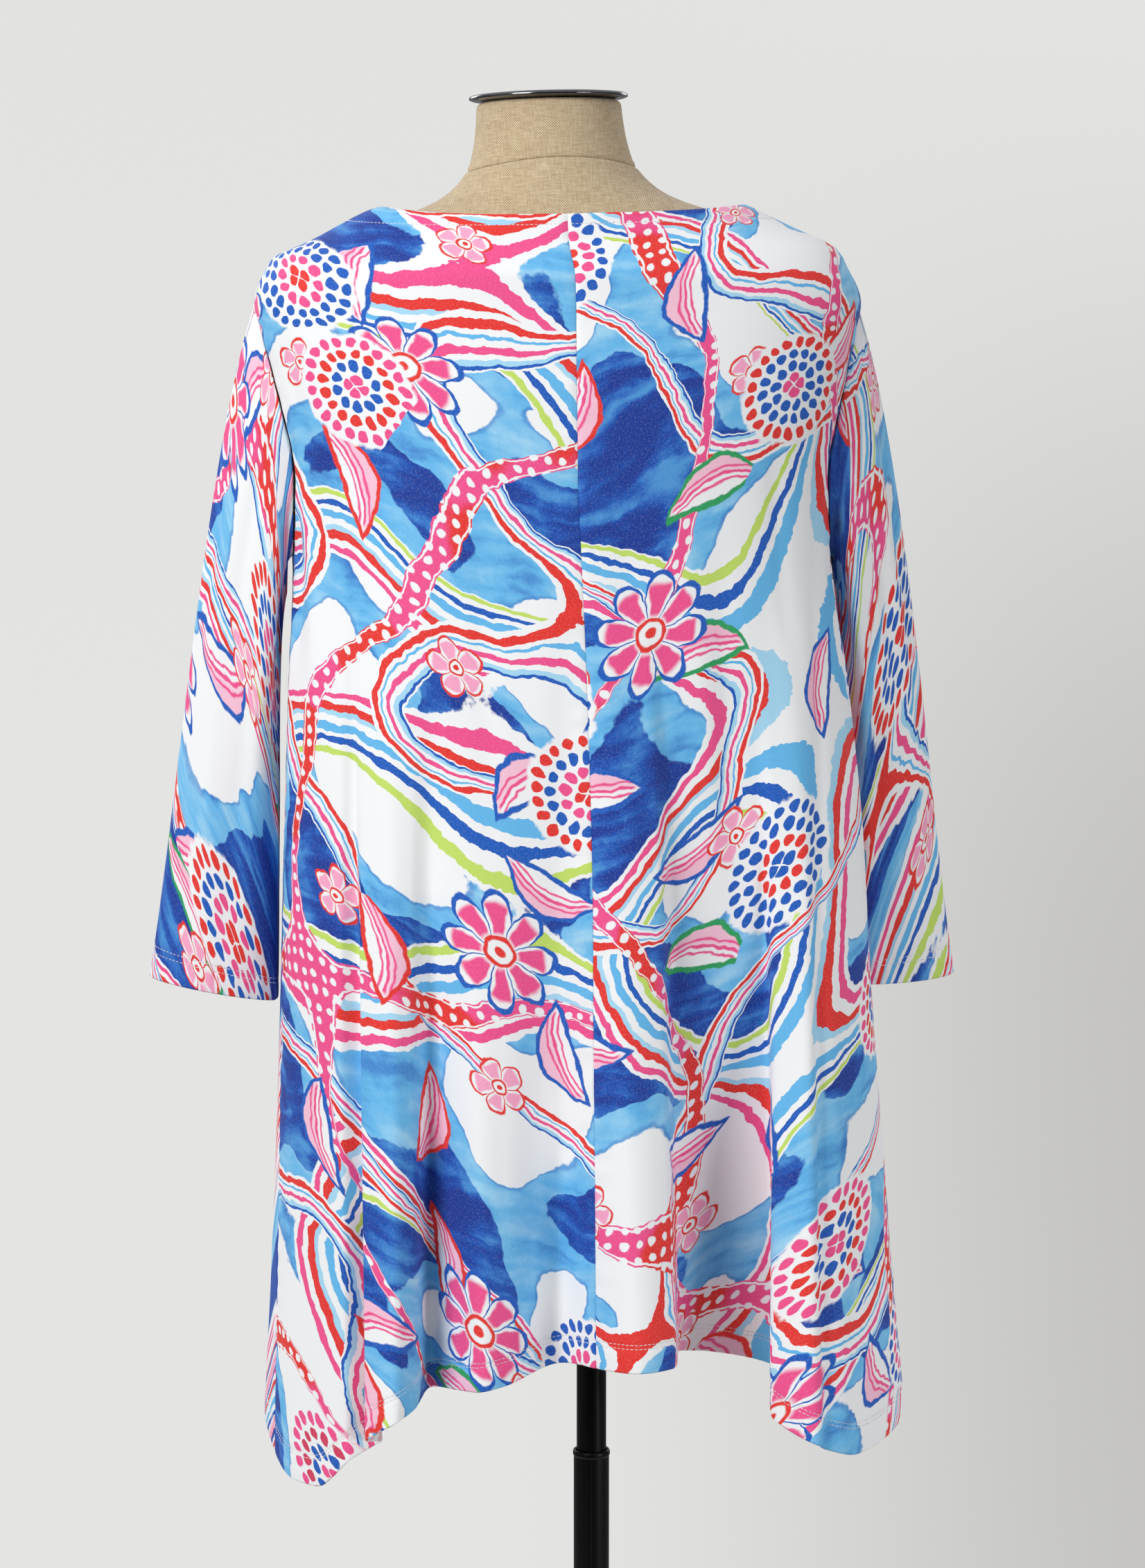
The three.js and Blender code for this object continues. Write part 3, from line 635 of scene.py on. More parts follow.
def sleeve(name, cut, columns=168, rows=128, flat_start=0):
    """Builds a sleeve. At a share v of its length a point is a Hermite blend of the armhole point,
    its outward droop, and the cuff point, kept clear of the body beside it."""
    side = cut["side"]
    around = np.linspace(0, 2 * math.pi, columns, endpoint=False)
    start = armhole_line(side, around)
    low = (1 - np.cos(around)) / 2
    turned = math.radians(cut["turn"])
    across = np.array([side * math.cos(turned), math.sin(turned), 0])
    backward = np.array([side * math.sin(turned), -math.cos(turned), 0])
    level = cut["outer"] + (cut["inner"] - cut["outer"]) * low
    cuff = np.stack([np.full(columns, cut["x"]), np.full(columns, cut["y"]), level], -1)
    cuff += cut["wide"] * np.cos(around)[:, None] * across
    cuff += cut["thick"] * np.sin(around)[:, None] * backward
    droop = np.radians(71 + (20 - 71) * low)
    leave = np.stack([side * np.cos(droop), 0 * droop, -np.sin(droop)], -1)
    run = cuff - start
    length = np.linalg.norm(run, axis=-1)
    gap = leave * SEAM_GAP
    leave = leave * (length * (0.6 + (0.16 - 0.6) * low))[:, None]
    even = np.linspace(0, 1, rows) ** 1.12
    stop = 1 - CUFF_ROWS[0] * 1.15 / length.mean()
    share = np.concatenate([even * stop, 1 - CUFF_ROWS / length.mean(), [1]])
    v = share[:, None, None]
    grid = (start + gap) * (1 + 2 * v) * (1 - v) ** 2 + leave * v * (1 - v) ** 2
    grid = grid + cuff * v * v * (3 - 2 * v) + run * 0.9 * v * v * (v - 1)
    ripple = 4 * np.sin(3 * around + 1) * np.sin(math.pi * v[..., 0]) ** 2
    grid = grid + ripple[..., None] * backward
    limit = body_reach(grid[..., 1], grid[..., 2], side) + side * SLEEVE_GAP
    held = side * np.maximum(side * grid[..., 0], side * limit)
    grid[..., 0] = np.where(grid[..., 2] < ARMHOLE_FOOT, held, grid[..., 0])
    from_cuff = (1 - v[..., 0]) * length.mean()
    from_seam = v[..., 0] * length.mean()
    relief = np.zeros(grid.shape[:2])
    for k in range(len(SLEEVE_CREASES["around"])):
        row = {name_: values[k] for name_, values in SLEEVE_CREASES.items()}
        drift = 14 * math.sin(2.1 * k + side) * v[..., 0]
        offset = (np.degrees(around) - row["around"] - drift + 180) % 360 - 180
        third = (row["end"] - row["start"]) / 2.5
        along = ease(row["start"], row["start"] + third, v[..., 0])
        along = along * ease(-row["end"], third - row["end"], -v[..., 0])
        relief += row["depth"] * bell(offset, row["width"]) * along
    relief = relief * ease(0, 20, from_seam) - 0.9 * bell(from_seam, 2.5)
    for line in CUFF_STITCHES:
        relief -= 0.3 * bell(from_cuff - line, 0.9)
    ring = walked(np.concatenate([grid, grid[:, :1]], 1), 1)
    relief += 0.2 * np.sin(ring[:, :-1] * 0.66) * bell(from_cuff - 11, 11) - 0.25 * bell(from_cuff, 2.5)
    outer = grid + outward(grid, side * -1, True) * relief[..., None]
    doubled = 1 + 0.8 * ease(-24.5, -23, -from_cuff)
    inner = outer - outward(outer, side * -1, True) * (THIN_CLOTH * doubled)[..., None]
    down = walked(grid, 0)
    flat = np.stack([flat_start + ring, -np.concatenate([down, down[:, :1]], 1) - 60], -1)
    piece = wall(name, outer, inner, flat, wraps=True)
    print(name, "round", round(float(ring[0, -1])), "to", round(float(ring[-1, -1])),
          "length", round(float(down[-1].min())), "to", round(float(down[-1].max())), "mm")
    return piece, {"outer": outer, "share": share[:, None], "side": side, "length": length.mean()}


sleeve_left, sleeve_left_grid = sleeve("tunic_sleeve_left", SLEEVES["sleeve_left"], flat_start=3600)
sleeve_right, sleeve_right_grid = sleeve("tunic_sleeve_right", SLEEVES["sleeve_right"], flat_start=4300)

# %% [markdown]
# ## The stitches
# The hem and the cuffs are held by a twin row of stitches, and the neck edge by a single row.
# Each stitch is a short thread that dives into the cloth at both ends, so it is a six-sided
# capsule, and all the stitches of a panel are one mesh.

# %% Stitches
STITCH_PITCH = 3.3
STITCH_LENGTH = 2.5
THREAD_RADIUS = 0.32
CAPSULE = np.array([[-0.98, 0.35, -0.6], [-0.6, 0.95, 0.05], [0.6, 0.95, 0.05], [0.98, 0.35, -0.6]])


def stitches(grid, normals, rows, closed=False):
    """Points and faces of the stitches along some rows of a grid.

    A ring of six points stands at each of four places along a stitch. Its radius and its height
    above the cloth, in thread radii, come from the columns of CAPSULE."""
    points, faces, used = [], [], 0
    for row in rows:
        line, lift = grid[row], normals[row]
        if closed:
            line, lift = (np.concatenate([part, part[:1]]) for part in (line, lift))
        walk = np.concatenate([[0], np.cumsum(np.linalg.norm(np.diff(line, axis=0), axis=1))])
        count = int((walk[-1] - 3) // STITCH_PITCH)
        middle = 1.5 + (np.arange(count) + 0.5) * STITCH_PITCH

        def along(values, places):
            return np.stack([np.interp(places, walk, values[:, k]) for k in range(3)], -1)

        forth = unit(along(line, middle + 1) - along(line, middle - 1))[:, None, None]
        up = unit(along(lift, middle))[:, None, None]
        side = np.cross(forth, up)
        spin = np.arange(6) * math.pi / 3
        reach_, wide, high = (CAPSULE[None, :, None, k, None] for k in range(3))
        ring = up * np.cos(spin)[:, None] + side * np.sin(spin)[:, None]
        stitch = along(line, middle)[:, None, None] + forth * reach_ * STITCH_LENGTH / 2
        stitch = stitch + (ring * wide + up * (high + 0.2)) * THREAD_RADIUS
        number = used + np.arange(count * 24).reshape(count, 4, 6)
        around = np.roll(number, -1, 2)
        walls = np.stack([number[:, :-1], number[:, 1:], around[:, 1:], around[:, :-1]], -1)
        points.append(stitch.reshape(-1, 3))
        faces += walls.reshape(-1, 4).tolist() + number[:, 0, ::-1].tolist() + number[:, -1].tolist()
        used += count * 24
    return np.concatenate(points), faces


def thread_piece(name, parts):
    """Joins sets of stitches into one piece, facing outwards."""
    points = np.concatenate([part[0] for part in parts])
    shifts = np.cumsum([0] + [len(part[0]) for part in parts])
    faces = [[v + shift for v in face] for part, shift in zip(parts, shifts) for face in part[1]]
    mesh = bpy.data.meshes.new(name)
    mesh.from_pydata((points * MM).tolist(), [], faces)
    mesh.shade_smooth()
    piece = bpy.data.objects.new(name, mesh)
    bpy.context.scene.collection.objects.link(piece)
    bm = bmesh.new()
    bm.from_mesh(mesh)
    bmesh.ops.recalc_face_normals(bm, faces=bm.faces)
    bm.to_mesh(mesh)
    bm.free()
    print(name, len(points) // 24, "stitches")
    return piece


def row_at(panel, share):
    return int(np.argmin(np.abs(panel["share"][:, 0] - share)))


def panel_stitches(name, panel):
    """The twin hem rows and the neck row of a body panel."""
    rows = [row_at(panel, 1 - line / LENGTH) for line in HEM_STITCHES]
    rows.append(row_at(panel, NECK_STITCH / LENGTH))
    return thread_piece(name, [stitches(panel["outer"], outward(panel["outer"]), rows)])


def cuff_stitches(name, panel):
    rows = [row_at(panel, 1 - line / panel["length"]) for line in CUFF_STITCHES]
    normals = outward(panel["outer"], -panel["side"], True)
    return thread_piece(name, [stitches(panel["outer"], normals, rows, closed=True)])


threads = {
    "stitches_back_left": (panel_stitches("stitches_back_left", left_grid), back_left),
    "stitches_back_right": (panel_stitches("stitches_back_right", right_grid), back_right),
    "stitches_front": (panel_stitches("stitches_front", front_grid), front),
    "stitches_sleeve_left": (cuff_stitches("stitches_sleeve_left", sleeve_left_grid), sleeve_left),
    "stitches_sleeve_right": (cuff_stitches("stitches_sleeve_right", sleeve_right_grid), sleeve_right),
}

# %% [markdown]
# ## The form
# The torso and the neck are padded shells under a tight linen cover, with a seam between them.
# Both covers turn in at the seam, which leaves a fine rounded groove. Each is a stack of rings,
# closed at its ends by a point in the middle.

# %% Torso and neck
def stack(name, rings, flat, sharp=50):
    """A closed solid through rings that run anticlockwise, the highest first."""
    rows, columns = rings.shape[:2]
    points = np.concatenate([rings.reshape(-1, 3), rings[[0, -1]].mean(1)])
    index = np.arange(rows * columns).reshape(rows, columns)
    index = np.concatenate([index, index[:, :1]], 1)
    spots = np.arange(rows * (columns + 1)).reshape(rows, columns + 1)
    top = np.stack([index[0, :-1], index[0, 1:], np.full(columns, rows * columns)], -1)
    foot = np.stack([index[-1, 1:], index[-1, :-1], np.full(columns, rows * columns + 1)], -1)
    flat = flat.reshape(-1, 2)
    top_flat = np.stack([flat[spots[0, :-1]], flat[spots[0, 1:]], flat[spots[0, :-1]]], 1)
    foot_flat = np.stack([flat[spots[-1, 1:]], flat[spots[-1, :-1]], flat[spots[-1, :-1]]], 1)
    corners = np.concatenate([part.reshape(-1, 2) for part in (flat[quads(spots)], top_flat, foot_flat)])
    return add_piece(name, points, [quads(index), top, foot], corners, sharp)


SEAM_HEIGHT = 1524  # where the torso's table ends and the neck's begins
SEAM_BACK = 1526
SEAM_DIP = 7
NECK_TOP = 1568.5
TUBE_GAP = 0.3


def seam(turn):
    """The neck seam dips towards the sides: z = back - dip.sin^2."""
    return SEAM_BACK - SEAM_DIP * np.sin(turn) ** 2


def covered(name, shares, insets, top, foot, columns=144):
    """A linen-covered solid: its rings stand at shares of the way down from top to foot, which
    may vary round the form. Insets are how far it turns in, in millimetres."""
    turn = np.linspace(-math.pi, math.pi, columns, endpoint=False)[None, :]
    upper, lower = np.broadcast_to(top(turn), turn.shape), np.broadcast_to(foot(turn), turn.shape)
    height = upper + (lower - upper) * shares[:, None]
    below = form_point(FORM_RINGS, turn, np.minimum(height, SEAM_HEIGHT))
    above = form_point(NECK_RINGS, turn, np.maximum(height, SEAM_HEIGHT))
    rings = np.where((height > SEAM_HEIGHT)[..., None], above, below)
    away = unit((rings - rings.mean(1, keepdims=True)) * [1, 1, 0])
    rings = leaned(rings - away * insets[:, None, None])
    round_ = walked(np.concatenate([rings, rings[:, :1]], 1), 1)
    middle = round_[:, columns // 2][:, None]
    flat_height = np.concatenate([height, height[:, :1]], 1)
    flat = np.stack([round_ - middle, flat_height], -1)
    print(name, "round", round(float(round_[:, -1].max())), "mm at its widest")
    return stack(name, rings, flat)


def turned_in(lengths, length):
    """Shares and insets of a rounded end: the inset is 1.5.(1 - s/3)^2 at s millimetres from it."""
    return lengths / length, 1.5 * (1 - lengths / 3) ** 2


roll = np.array([0, 0.4, 1.0, 1.9, 3.0])
roll_share, roll_inset = turned_in(roll, SEAM_BACK - FORM_FOOT)
torso_shares = np.concatenate([roll_share, np.linspace(0.0075, 0.994, 132), [0.9971, 0.9989, 1]])
torso_insets = np.concatenate([roll_inset, np.zeros(132), [0, 0.4, 1.2]])
torso = covered("form_torso_linen", torso_shares, torso_insets, seam, lambda turn: FORM_FOOT)
roll_share, roll_inset = turned_in(roll, NECK_TOP - SEAM_BACK)
neck_shares = np.concatenate([[0, 0.008, 0.02, 0.04, 0.07], np.linspace(0.11, 0.9, 26),
                              1 - roll_share[::-1]])
neck_insets = np.concatenate([np.zeros(31), roll_inset[::-1]])
neck = covered("form_neck_linen", neck_shares, neck_insets, lambda turn: NECK_TOP,
               lambda turn: seam(turn) + TUBE_GAP)

# %% [markdown]
# ## The metal parts
# The cap on the neck, the tubes, their lip and the round base are turned on a lathe. A profile
# with sharp corners is rounded first: each corner becomes a short parabola, which catches a
# thin highlight as a real edge does.

# %% Lathe
CAP_RADIUS = 57.7
CAP_THICKNESS = 5
POLE_SIDES = 128


def rounded(corners, radius, closed=False, steps=5):
    """Rounds each corner of a profile: b(t) = (1-t)^2.before + 2t(1-t).corner + t^2.after."""
    corners = np.array(corners, float)
    before, after = np.roll(corners, 1, 0) - corners, np.roll(corners, -1, 0) - corners
    reach_before = np.minimum(radius, 0.4 * np.linalg.norm(before, axis=1))[:, None]
    reach_after = np.minimum(radius, 0.4 * np.linalg.norm(after, axis=1))[:, None]
    before, after = unit(before), unit(after)
    t = np.linspace(0, 1, steps)[:, None, None]
    arc = corners + before * reach_before * (1 - t) ** 2 + after * reach_after * t ** 2
    guard_before = corners + before * reach_before * 1.2
    guard_after = corners + after * reach_after * 1.2
    points = np.concatenate([guard_before[None], arc, guard_after[None]]).transpose(1, 0, 2)
    if closed:
        return points.reshape(-1, 2)
    return np.concatenate([corners[:1] + after[:1] * 0.5, points[1:-1].reshape(-1, 2),
                           corners[-1:] + before[-1:] * 0.5])


def lathe(name, profile, centre=(0, 0, 0), lean=False, loop=False):
    """Turns a profile of (radius, height) points about the upright axis."""
    turn = np.linspace(0, 2 * math.pi, POLE_SIDES, endpoint=False)
    radius, height = profile[:, :1], profile[:, 1:]
    rings = np.stack(np.broadcast_arrays(radius * np.cos(turn), radius * np.sin(turn), height), -1)
    rings = rings + np.array(centre)
    if lean:
        rings = leaned(rings)
    if not loop:
        rings = rings[::-1]
        flat = np.zeros((len(rings), POLE_SIDES + 1, 2))
        return stack(name, rings, flat)
    index = np.arange(len(rings) * POLE_SIDES).reshape(-1, POLE_SIDES)
    index = np.pad(index, ((0, 1), (0, 1)), mode="wrap")
    points, faces = rings.reshape(-1, 3), quads(index)
    if volume_of(points, faces) < 0:
        faces = faces[:, ::-1]
    return add_piece(name, points, [faces], None, 50)


cap_profile = rounded([
    (0, 0), (CAP_RADIUS - 8.7, 0), (CAP_RADIUS - 3.2, 0.6), (CAP_RADIUS, 1.7), (CAP_RADIUS, 3.4),
    (CAP_RADIUS - 1.7, CAP_THICKNESS - 0.6), (CAP_RADIUS - 7.7, CAP_THICKNESS), (0, CAP_THICKNESS)], 0.9)
cap_foot = (0, float(NECK_RINGS["mid"][-1]), NECK_TOP + 2 * TUBE_GAP)
cap = lathe("cap_disc", cap_profile, cap_foot, lean=True)

POLE_TOP = 819
flange = lathe("pole_flange_plate", rounded([
    (0, POLE_TOP + TUBE_GAP), (16, POLE_TOP + TUBE_GAP), (30, 825), (30, 829.2), (0, 829.2)], 1.2))
upper_tube = lathe("pole_upper", rounded([
    (9.5, 262), (11, 262), (11, POLE_TOP), (9.5, POLE_TOP)], 0.5, closed=True), loop=True)
lower_tube = lathe("pole_lower", rounded([
    (11.4, 16.3), (13.2, 16.3), (13.2, 570), (13.8, 571.2), (13.8, 573.6), (13, 575), (12, 575),
    (11.4, 573.8)], 0.5, closed=True), loop=True)
hub = lathe("base_collar", rounded([
    (13.5, 16.3), (25, 16.3), (24, 24.3), (18, 44), (13.5, 46)], 1.4, closed=True), loop=True)
base = lathe("base_disc", rounded([
    (0, 0), (148, 0), (150, 2), (150, 7), (146, 10), (40, 16), (0, 16)], 2.4))
print("cap", 2 * CAP_RADIUS, "mm across, base", 300, "mm across")

# %% [markdown]
# ## Writing patterns as sums
# A pattern in Blender is a chain of math nodes. A small class lets such a chain be written as
# ordinary sums: each sign adds one Math node, so a formula reads as a formula.

# %% Fields
class Field:
    """The value of a node's output, which sums and products with other fields can use."""

    def __init__(self, nodes, socket):
        self.nodes = nodes
        self.socket = socket

    def math(self, operation, *others, clamp=False):
        node = self.nodes.new("ShaderNodeMath")
        node.operation = operation
        node.use_clamp = clamp
        for k, value in enumerate((self, *others)):
            plug(node.inputs[k], value)
        return Field(self.nodes, node.outputs[0])

    def __add__(self, other):
        return self.math("ADD", other)

    def __sub__(self, other):
        return self.math("SUBTRACT", other)

    def __mul__(self, other):
        return self.math("MULTIPLY", other)

    def __truediv__(self, other):
        return self.math("DIVIDE", other)

    def __rsub__(self, other):
        return (self * -1) + other

    def least(self, other):
        return self.math("MINIMUM", other)

    def most(self, other):
        return self.math("MAXIMUM", other)

    def size(self):
        return self.math("ABSOLUTE")

    def above(self, edge, blur):
        """0 below the edge and 1 above it, with a smooth step as wide as the blur."""
        node = self.nodes.new("ShaderNodeMapRange")
        node.interpolation_type = "SMOOTHSTEP"
        plug(node.inputs["Value"], self)
        plug(node.inputs["From Min"], edge - blur / 2)
        plug(node.inputs["From Max"], edge + blur / 2)
        return Field(self.nodes, node.outputs[0])

    def between(self, low, high, blur):
        return self.above(low, blur) * (1 - self.above(high, blur))


def plug(socket, value):
    """Links a field to a socket, or sets the socket to a number or a colour."""
    if isinstance(value, Field):
        value.nodes.id_data.links.new(value.socket, socket)
    else:
        socket.default_value = value


def add_node(nodes, kind, inputs=None, **settings):
    """Adds a node, with its settings and its inputs."""
    node = nodes.new(kind)
    for name, value in settings.items():
        setattr(node, name, value)
    for name, value in (inputs or {}).items():
        plug(node.inputs[name], value)
    return node


def out(node, name=0):
    return Field(node.id_data.nodes, node.outputs[name])


def noise(nodes, vector, scale, detail=2, colour=False, **inputs):
    settings = {"Vector": vector, "Scale": scale, "Detail": detail}
    settings.update({name.capitalize(): value for name, value in inputs.items()})
    node = add_node(nodes, "ShaderNodeTexNoise", settings, noise_dimensions="2D")
    return out(node, "Color" if colour else "Fac")


def linear(code):
    """A linear colour from a six-digit screen colour, by the screen's own curve."""
    values = [int(code[k:k + 2], 16) / 255 for k in (0, 2, 4)]
    return (*(v / 12.92 if v < 0.04045 else ((v + 0.055) / 1.055) ** 2.4 for v in values), 1)


def paint(nodes, under, over, amount):
    """Lays a colour over another one, as much as the amount says."""
    node = nodes.new("ShaderNodeMix")
    node.data_type = "RGBA"
    plug(node.inputs["Factor"], amount)
    plug(node.inputs["A"], under)
    plug(node.inputs["B"], over)
    return Field(nodes, [o for o in node.outputs if o.type == "RGBA"][0])


# %% [markdown]
# ## The printed jersey
# The cloth is a white viscose jersey with a watercolour print. The print here is a generic one of
# the builder's own: loose washes, flowing ribbons of thin parallel strokes, bands of dots, leaves
# and daisies. It lies on the flat cloth's own coordinates, so it hangs with the folds and breaks
# at every seam, and its shapes are worked out from distances, with a little noise in their edges
# as a wet brush leaves.

# %% The print
PAINTS = {
    "white": linear("F2F3F4"), "sky": linear("63B7EA"), "pale": linear("A6D8F2"),
    "royal": linear("165BBB"), "deep": linear("123895"), "pink": linear("F0508E"),
    "blush": linear("F8A5C6"), "red": linear("E6332C"), "lime": linear("C3DE66"),
    "green": linear("2A9E5C"),
}


def vector_math(nodes, operation, a, b):
    node = add_node(nodes, "ShaderNodeVectorMath", operation=operation)
    plug(node.inputs[0], a)
    if operation == "SCALE":
        plug(node.inputs["Scale"], b)
    else:
        plug(node.inputs[1], b)
    return out(node)


def split(nodes, vector):
    node = add_node(nodes, "ShaderNodeSeparateXYZ", {"Vector": vector})
    return out(node, "X"), out(node, "Y")


def wobbled(nodes, place, scale, amount, detail=2):
    """A place moved by noise: place + amount.(noise - 1/2) in both directions."""
    drift = vector_math(nodes, "SUBTRACT", noise(nodes, place, scale, detail, colour=True), (0.5, 0.5, 0.5))
    return vector_math(nodes, "ADD", place, vector_math(nodes, "SCALE", drift, amount))


def ramp(nodes, value, stops):
    """Steps of colour: each stop is a place from 0 to 1 and a paint's name."""
    node = add_node(nodes, "ShaderNodeValToRGB", {"Fac": value})
    node.color_ramp.interpolation = "CONSTANT"
    elements = node.color_ramp.elements
    while len(elements) < len(stops):
        elements.new(0.5)
    for element, (position, name) in zip(elements, stops):
        element.position = position
        element.color = PAINTS[name]
    return out(node)


def motif_cell(nodes, place, scale, uneven, chance_from):
    """The nearest motif's centre: the offset from it, a random number, and its presence."""
    node = add_node(nodes, "ShaderNodeTexVoronoi", {"Vector": place, "Scale": scale, "Randomness": uneven},
                    voronoi_dimensions="2D")
    offset = vector_math(nodes, "SUBTRACT", place, out(node, "Position"))
    colour = add_node(nodes, "ShaderNodeSeparateColor", {"Color": out(node, "Color")})
    chance, pick = out(colour, "Red"), out(colour, "Green")
    return offset, pick, chance.above(chance_from, 0.001)


def turned_offset(nodes, offset, angle):
    """The offset seen in a frame turned by an angle: (x.c + y.s, y.c - x.s)."""
    x, y = split(nodes, offset)
    c, s = angle.math("COSINE"), angle.math("SINE")
    return x * c + y * s, y * c - x * s


def washes(nodes, place, fine):
    """White ground, sky and royal washes with crisp edges, pools of darker paint and streaks."""
    field = noise(nodes, wobbled(nodes, place, 9, 0.05), 7.5, 1, roughness=0.35)
    field = field + fine * 0.012
    streak = noise(nodes, vector_math(nodes, "MULTIPLY", wobbled(nodes, place, 6, 0.08), (14, 70, 1)), 1, 3)
    blot = noise(nodes, place, 22, 4, roughness=0.6)
    depth = streak * 0.8 + blot * 0.8 - 0.15
    sky = paint(nodes, PAINTS["pale"], PAINTS["sky"], depth.above(0.52, 0.5))
    sky = paint(nodes, sky, PAINTS["royal"], depth.above(0.83, 0.28) * 0.6)
    edge = field.between(0.421, 0.435, 0.012)
    sky = paint(nodes, sky, PAINTS["royal"], edge * 0.45)
    blue = paint(nodes, PAINTS["royal"], PAINTS["deep"], depth.above(0.66, 0.3))
    blue = paint(nodes, blue, PAINTS["sky"], (1 - depth.above(0.5, 0.3)) * 0.55)
    colour = paint(nodes, PAINTS["white"], sky, field.above(0.424, 0.006))
    return paint(nodes, colour, blue, field.above(0.542, 0.006))


def ribbons(nodes, under, place, fine, scale, reach_, stops, wander):
    """Parallel strokes along the contour of a smooth field, where it is within reach of 1/2."""
    moved = wobbled(nodes, place, wander, 0.09, 1)
    field = noise(nodes, moved, scale, 0) - 0.5 + fine * 0.004
    across = (field / reach_) * 0.5 + 0.5
    colour = ramp(nodes, across, stops)
    inside = across.between(0.02, 0.98, 0.01)
    return paint(nodes, under, colour, inside), across, inside


WIDE_STROKES = [(0, "white"), (0.08, "pink"), (0.17, "white"), (0.26, "red"), (0.37, "pale"), (0.44, "white"),
                (0.55, "sky"), (0.66, "white"), (0.72, "royal"), (0.80, "white"), (0.88, "lime"), (0.95, "white")]
NARROW_STROKES = [(0, "white"), (0.12, "red"), (0.28, "white"), (0.36, "sky"), (0.42, "white"),
                  (0.54, "pink"), (0.66, "white"), (0.76, "pale"), (0.86, "royal"), (0.93, "white")]


def spotted_band(nodes, under, place, fine):
    """A pink to red ribbon with a white edge line and round white spots."""
    moved = wobbled(nodes, vector_math(nodes, "ADD", place, (1.7, 0.9, 0)), 5, 0.12, 1)
    field = noise(nodes, moved, 3.1, 0) - 0.5 + fine * 0.003
    across = (field / 0.017).size()
    spots = add_node(nodes, "ShaderNodeTexVoronoi", {"Vector": place, "Scale": 92, "Randomness": 0.15},
                     voronoi_dimensions="2D")
    spot = 1 - out(spots, "Distance").above(0.27, 0.08)
    ground = paint(nodes, PAINTS["pink"], PAINTS["red"], noise(nodes, place, 11, 1).above(0.5, 0.06))
    colour = paint(nodes, ground, PAINTS["white"], spot.most(across.between(0.74, 0.88, 0.05)))
    return paint(nodes, under, colour, 1 - across.above(1, 0.05))


def leaves(nodes, under, place, fine):
    """Leaves: inside |y| < w.(1 - (x/L)^2), with an outline, two veins and a coloured blade."""
    offset, pick, present = motif_cell(nodes, place, 9.5, 0.8, 0.52)
    x, y = turned_offset(nodes, offset, pick * 6.283)
    bow = y + x * x * 9 - 0.002
    half = (1 - (x / 0.040).math("POWER", 2)) * 0.0165 + fine * 0.0016
    depth = half - bow.size()
    inside = depth.above(0, 0.0012) * present
    blade = paint(nodes, PAINTS["white"], PAINTS["blush"], bow.above(0.0005, 0.008) * 0.7)
    vein = bow.size().between(0.0035, 0.0052, 0.0012).most(1 - bow.size().above(0.0011, 0.0008))
    blade = paint(nodes, blade, PAINTS["pink"], vein * x.size().between(-1, 0.031, 0.004))
    outline = paint(nodes, PAINTS["royal"], PAINTS["red"], pick.above(0.62, 0.01))
    outline = paint(nodes, outline, PAINTS["green"], pick.above(0.86, 0.01))
    blade = paint(nodes, outline, blade, depth.above(0.0038, 0.001))
    return paint(nodes, under, blade, inside)


def daisies(nodes, under, place, fine, scale, radius, petals, chance, edge_paint, fill_paint):
    """Daisies: the radius of the outline swings with |cos(petals.angle/2)|, round a dotted eye."""
    offset, pick, present = motif_cell(nodes, place, scale, 0.75, chance)
    x, y = split(nodes, offset)
    distance = (x * x + y * y).math("SQRT")
    angle = y.math("ARCTAN2", x) + pick * 6.283
    swing = (angle * (petals / 2)).math("COSINE").size().math("POWER", 0.55)
    outline = (swing * 0.5 + 0.5) * radius + fine * 0.002
    depth = outline - distance
    along = distance / radius
    petal = paint(nodes, PAINTS["white"], fill_paint, swing.above(0.72, 0.2) * along.between(0.3, 0.78, 0.1))
    petal = paint(nodes, petal, edge_paint, (1 - depth.above(radius * 0.1, 0.001)).most(1 - swing.above(0.28, 0.12)))
    eye = paint(nodes, PAINTS["red"], PAINTS["white"], along.between(0.09, 0.2, 0.03))
    petal = paint(nodes, petal, eye, 1 - along.above(0.27, 0.02))
    return paint(nodes, under, petal, depth.above(0, 0.0012) * present)


def rosettes(nodes, under, place, fine):
    """Filled drops in rings round a centre: ring k has 6k + 4 of them, in equal sectors."""
    offset, pick, present = motif_cell(nodes, vector_math(nodes, "ADD", place, (0.43, 0.27, 0)), 6.2, 0.7, 0.6)
    x, y = split(nodes, offset)
    distance = (x * x + y * y).math("SQRT")
    step = 0.0105
    ring = (distance / step).math("FLOOR")
    count = ring * 6 + 4
    sector = (y.math("ARCTAN2", x) + ring * 0.7 + pick * 3) / 6.283 * count
    in_sector = (sector.math("FRACT") - 0.5) * 6.283 * (ring + 0.5) * step / count
    in_ring = (distance / step).math("FRACT") * step - step / 2
    drop = ((in_sector / 0.0039).math("POWER", 2) + (in_ring / 0.0045).math("POWER", 2)).math("SQRT") + fine * 0.3
    choice = (ring * 0.31 + pick * 5).math("FRACT")
    petal = paint(nodes, PAINTS["royal"], PAINTS["red"], choice.above(0.45, 0.01))
    petal = paint(nodes, petal, PAINTS["pink"], choice.above(0.72, 0.01))
    ground = (1 - (distance + fine * 0.006).above(0.044, 0.003)) * present
    colour = paint(nodes, under, PAINTS["white"], ground)
    held = present * (1 - drop.above(0.97, 0.12)) * (1 - ring.above(3.5, 0.1))
    return paint(nodes, colour, petal, held)


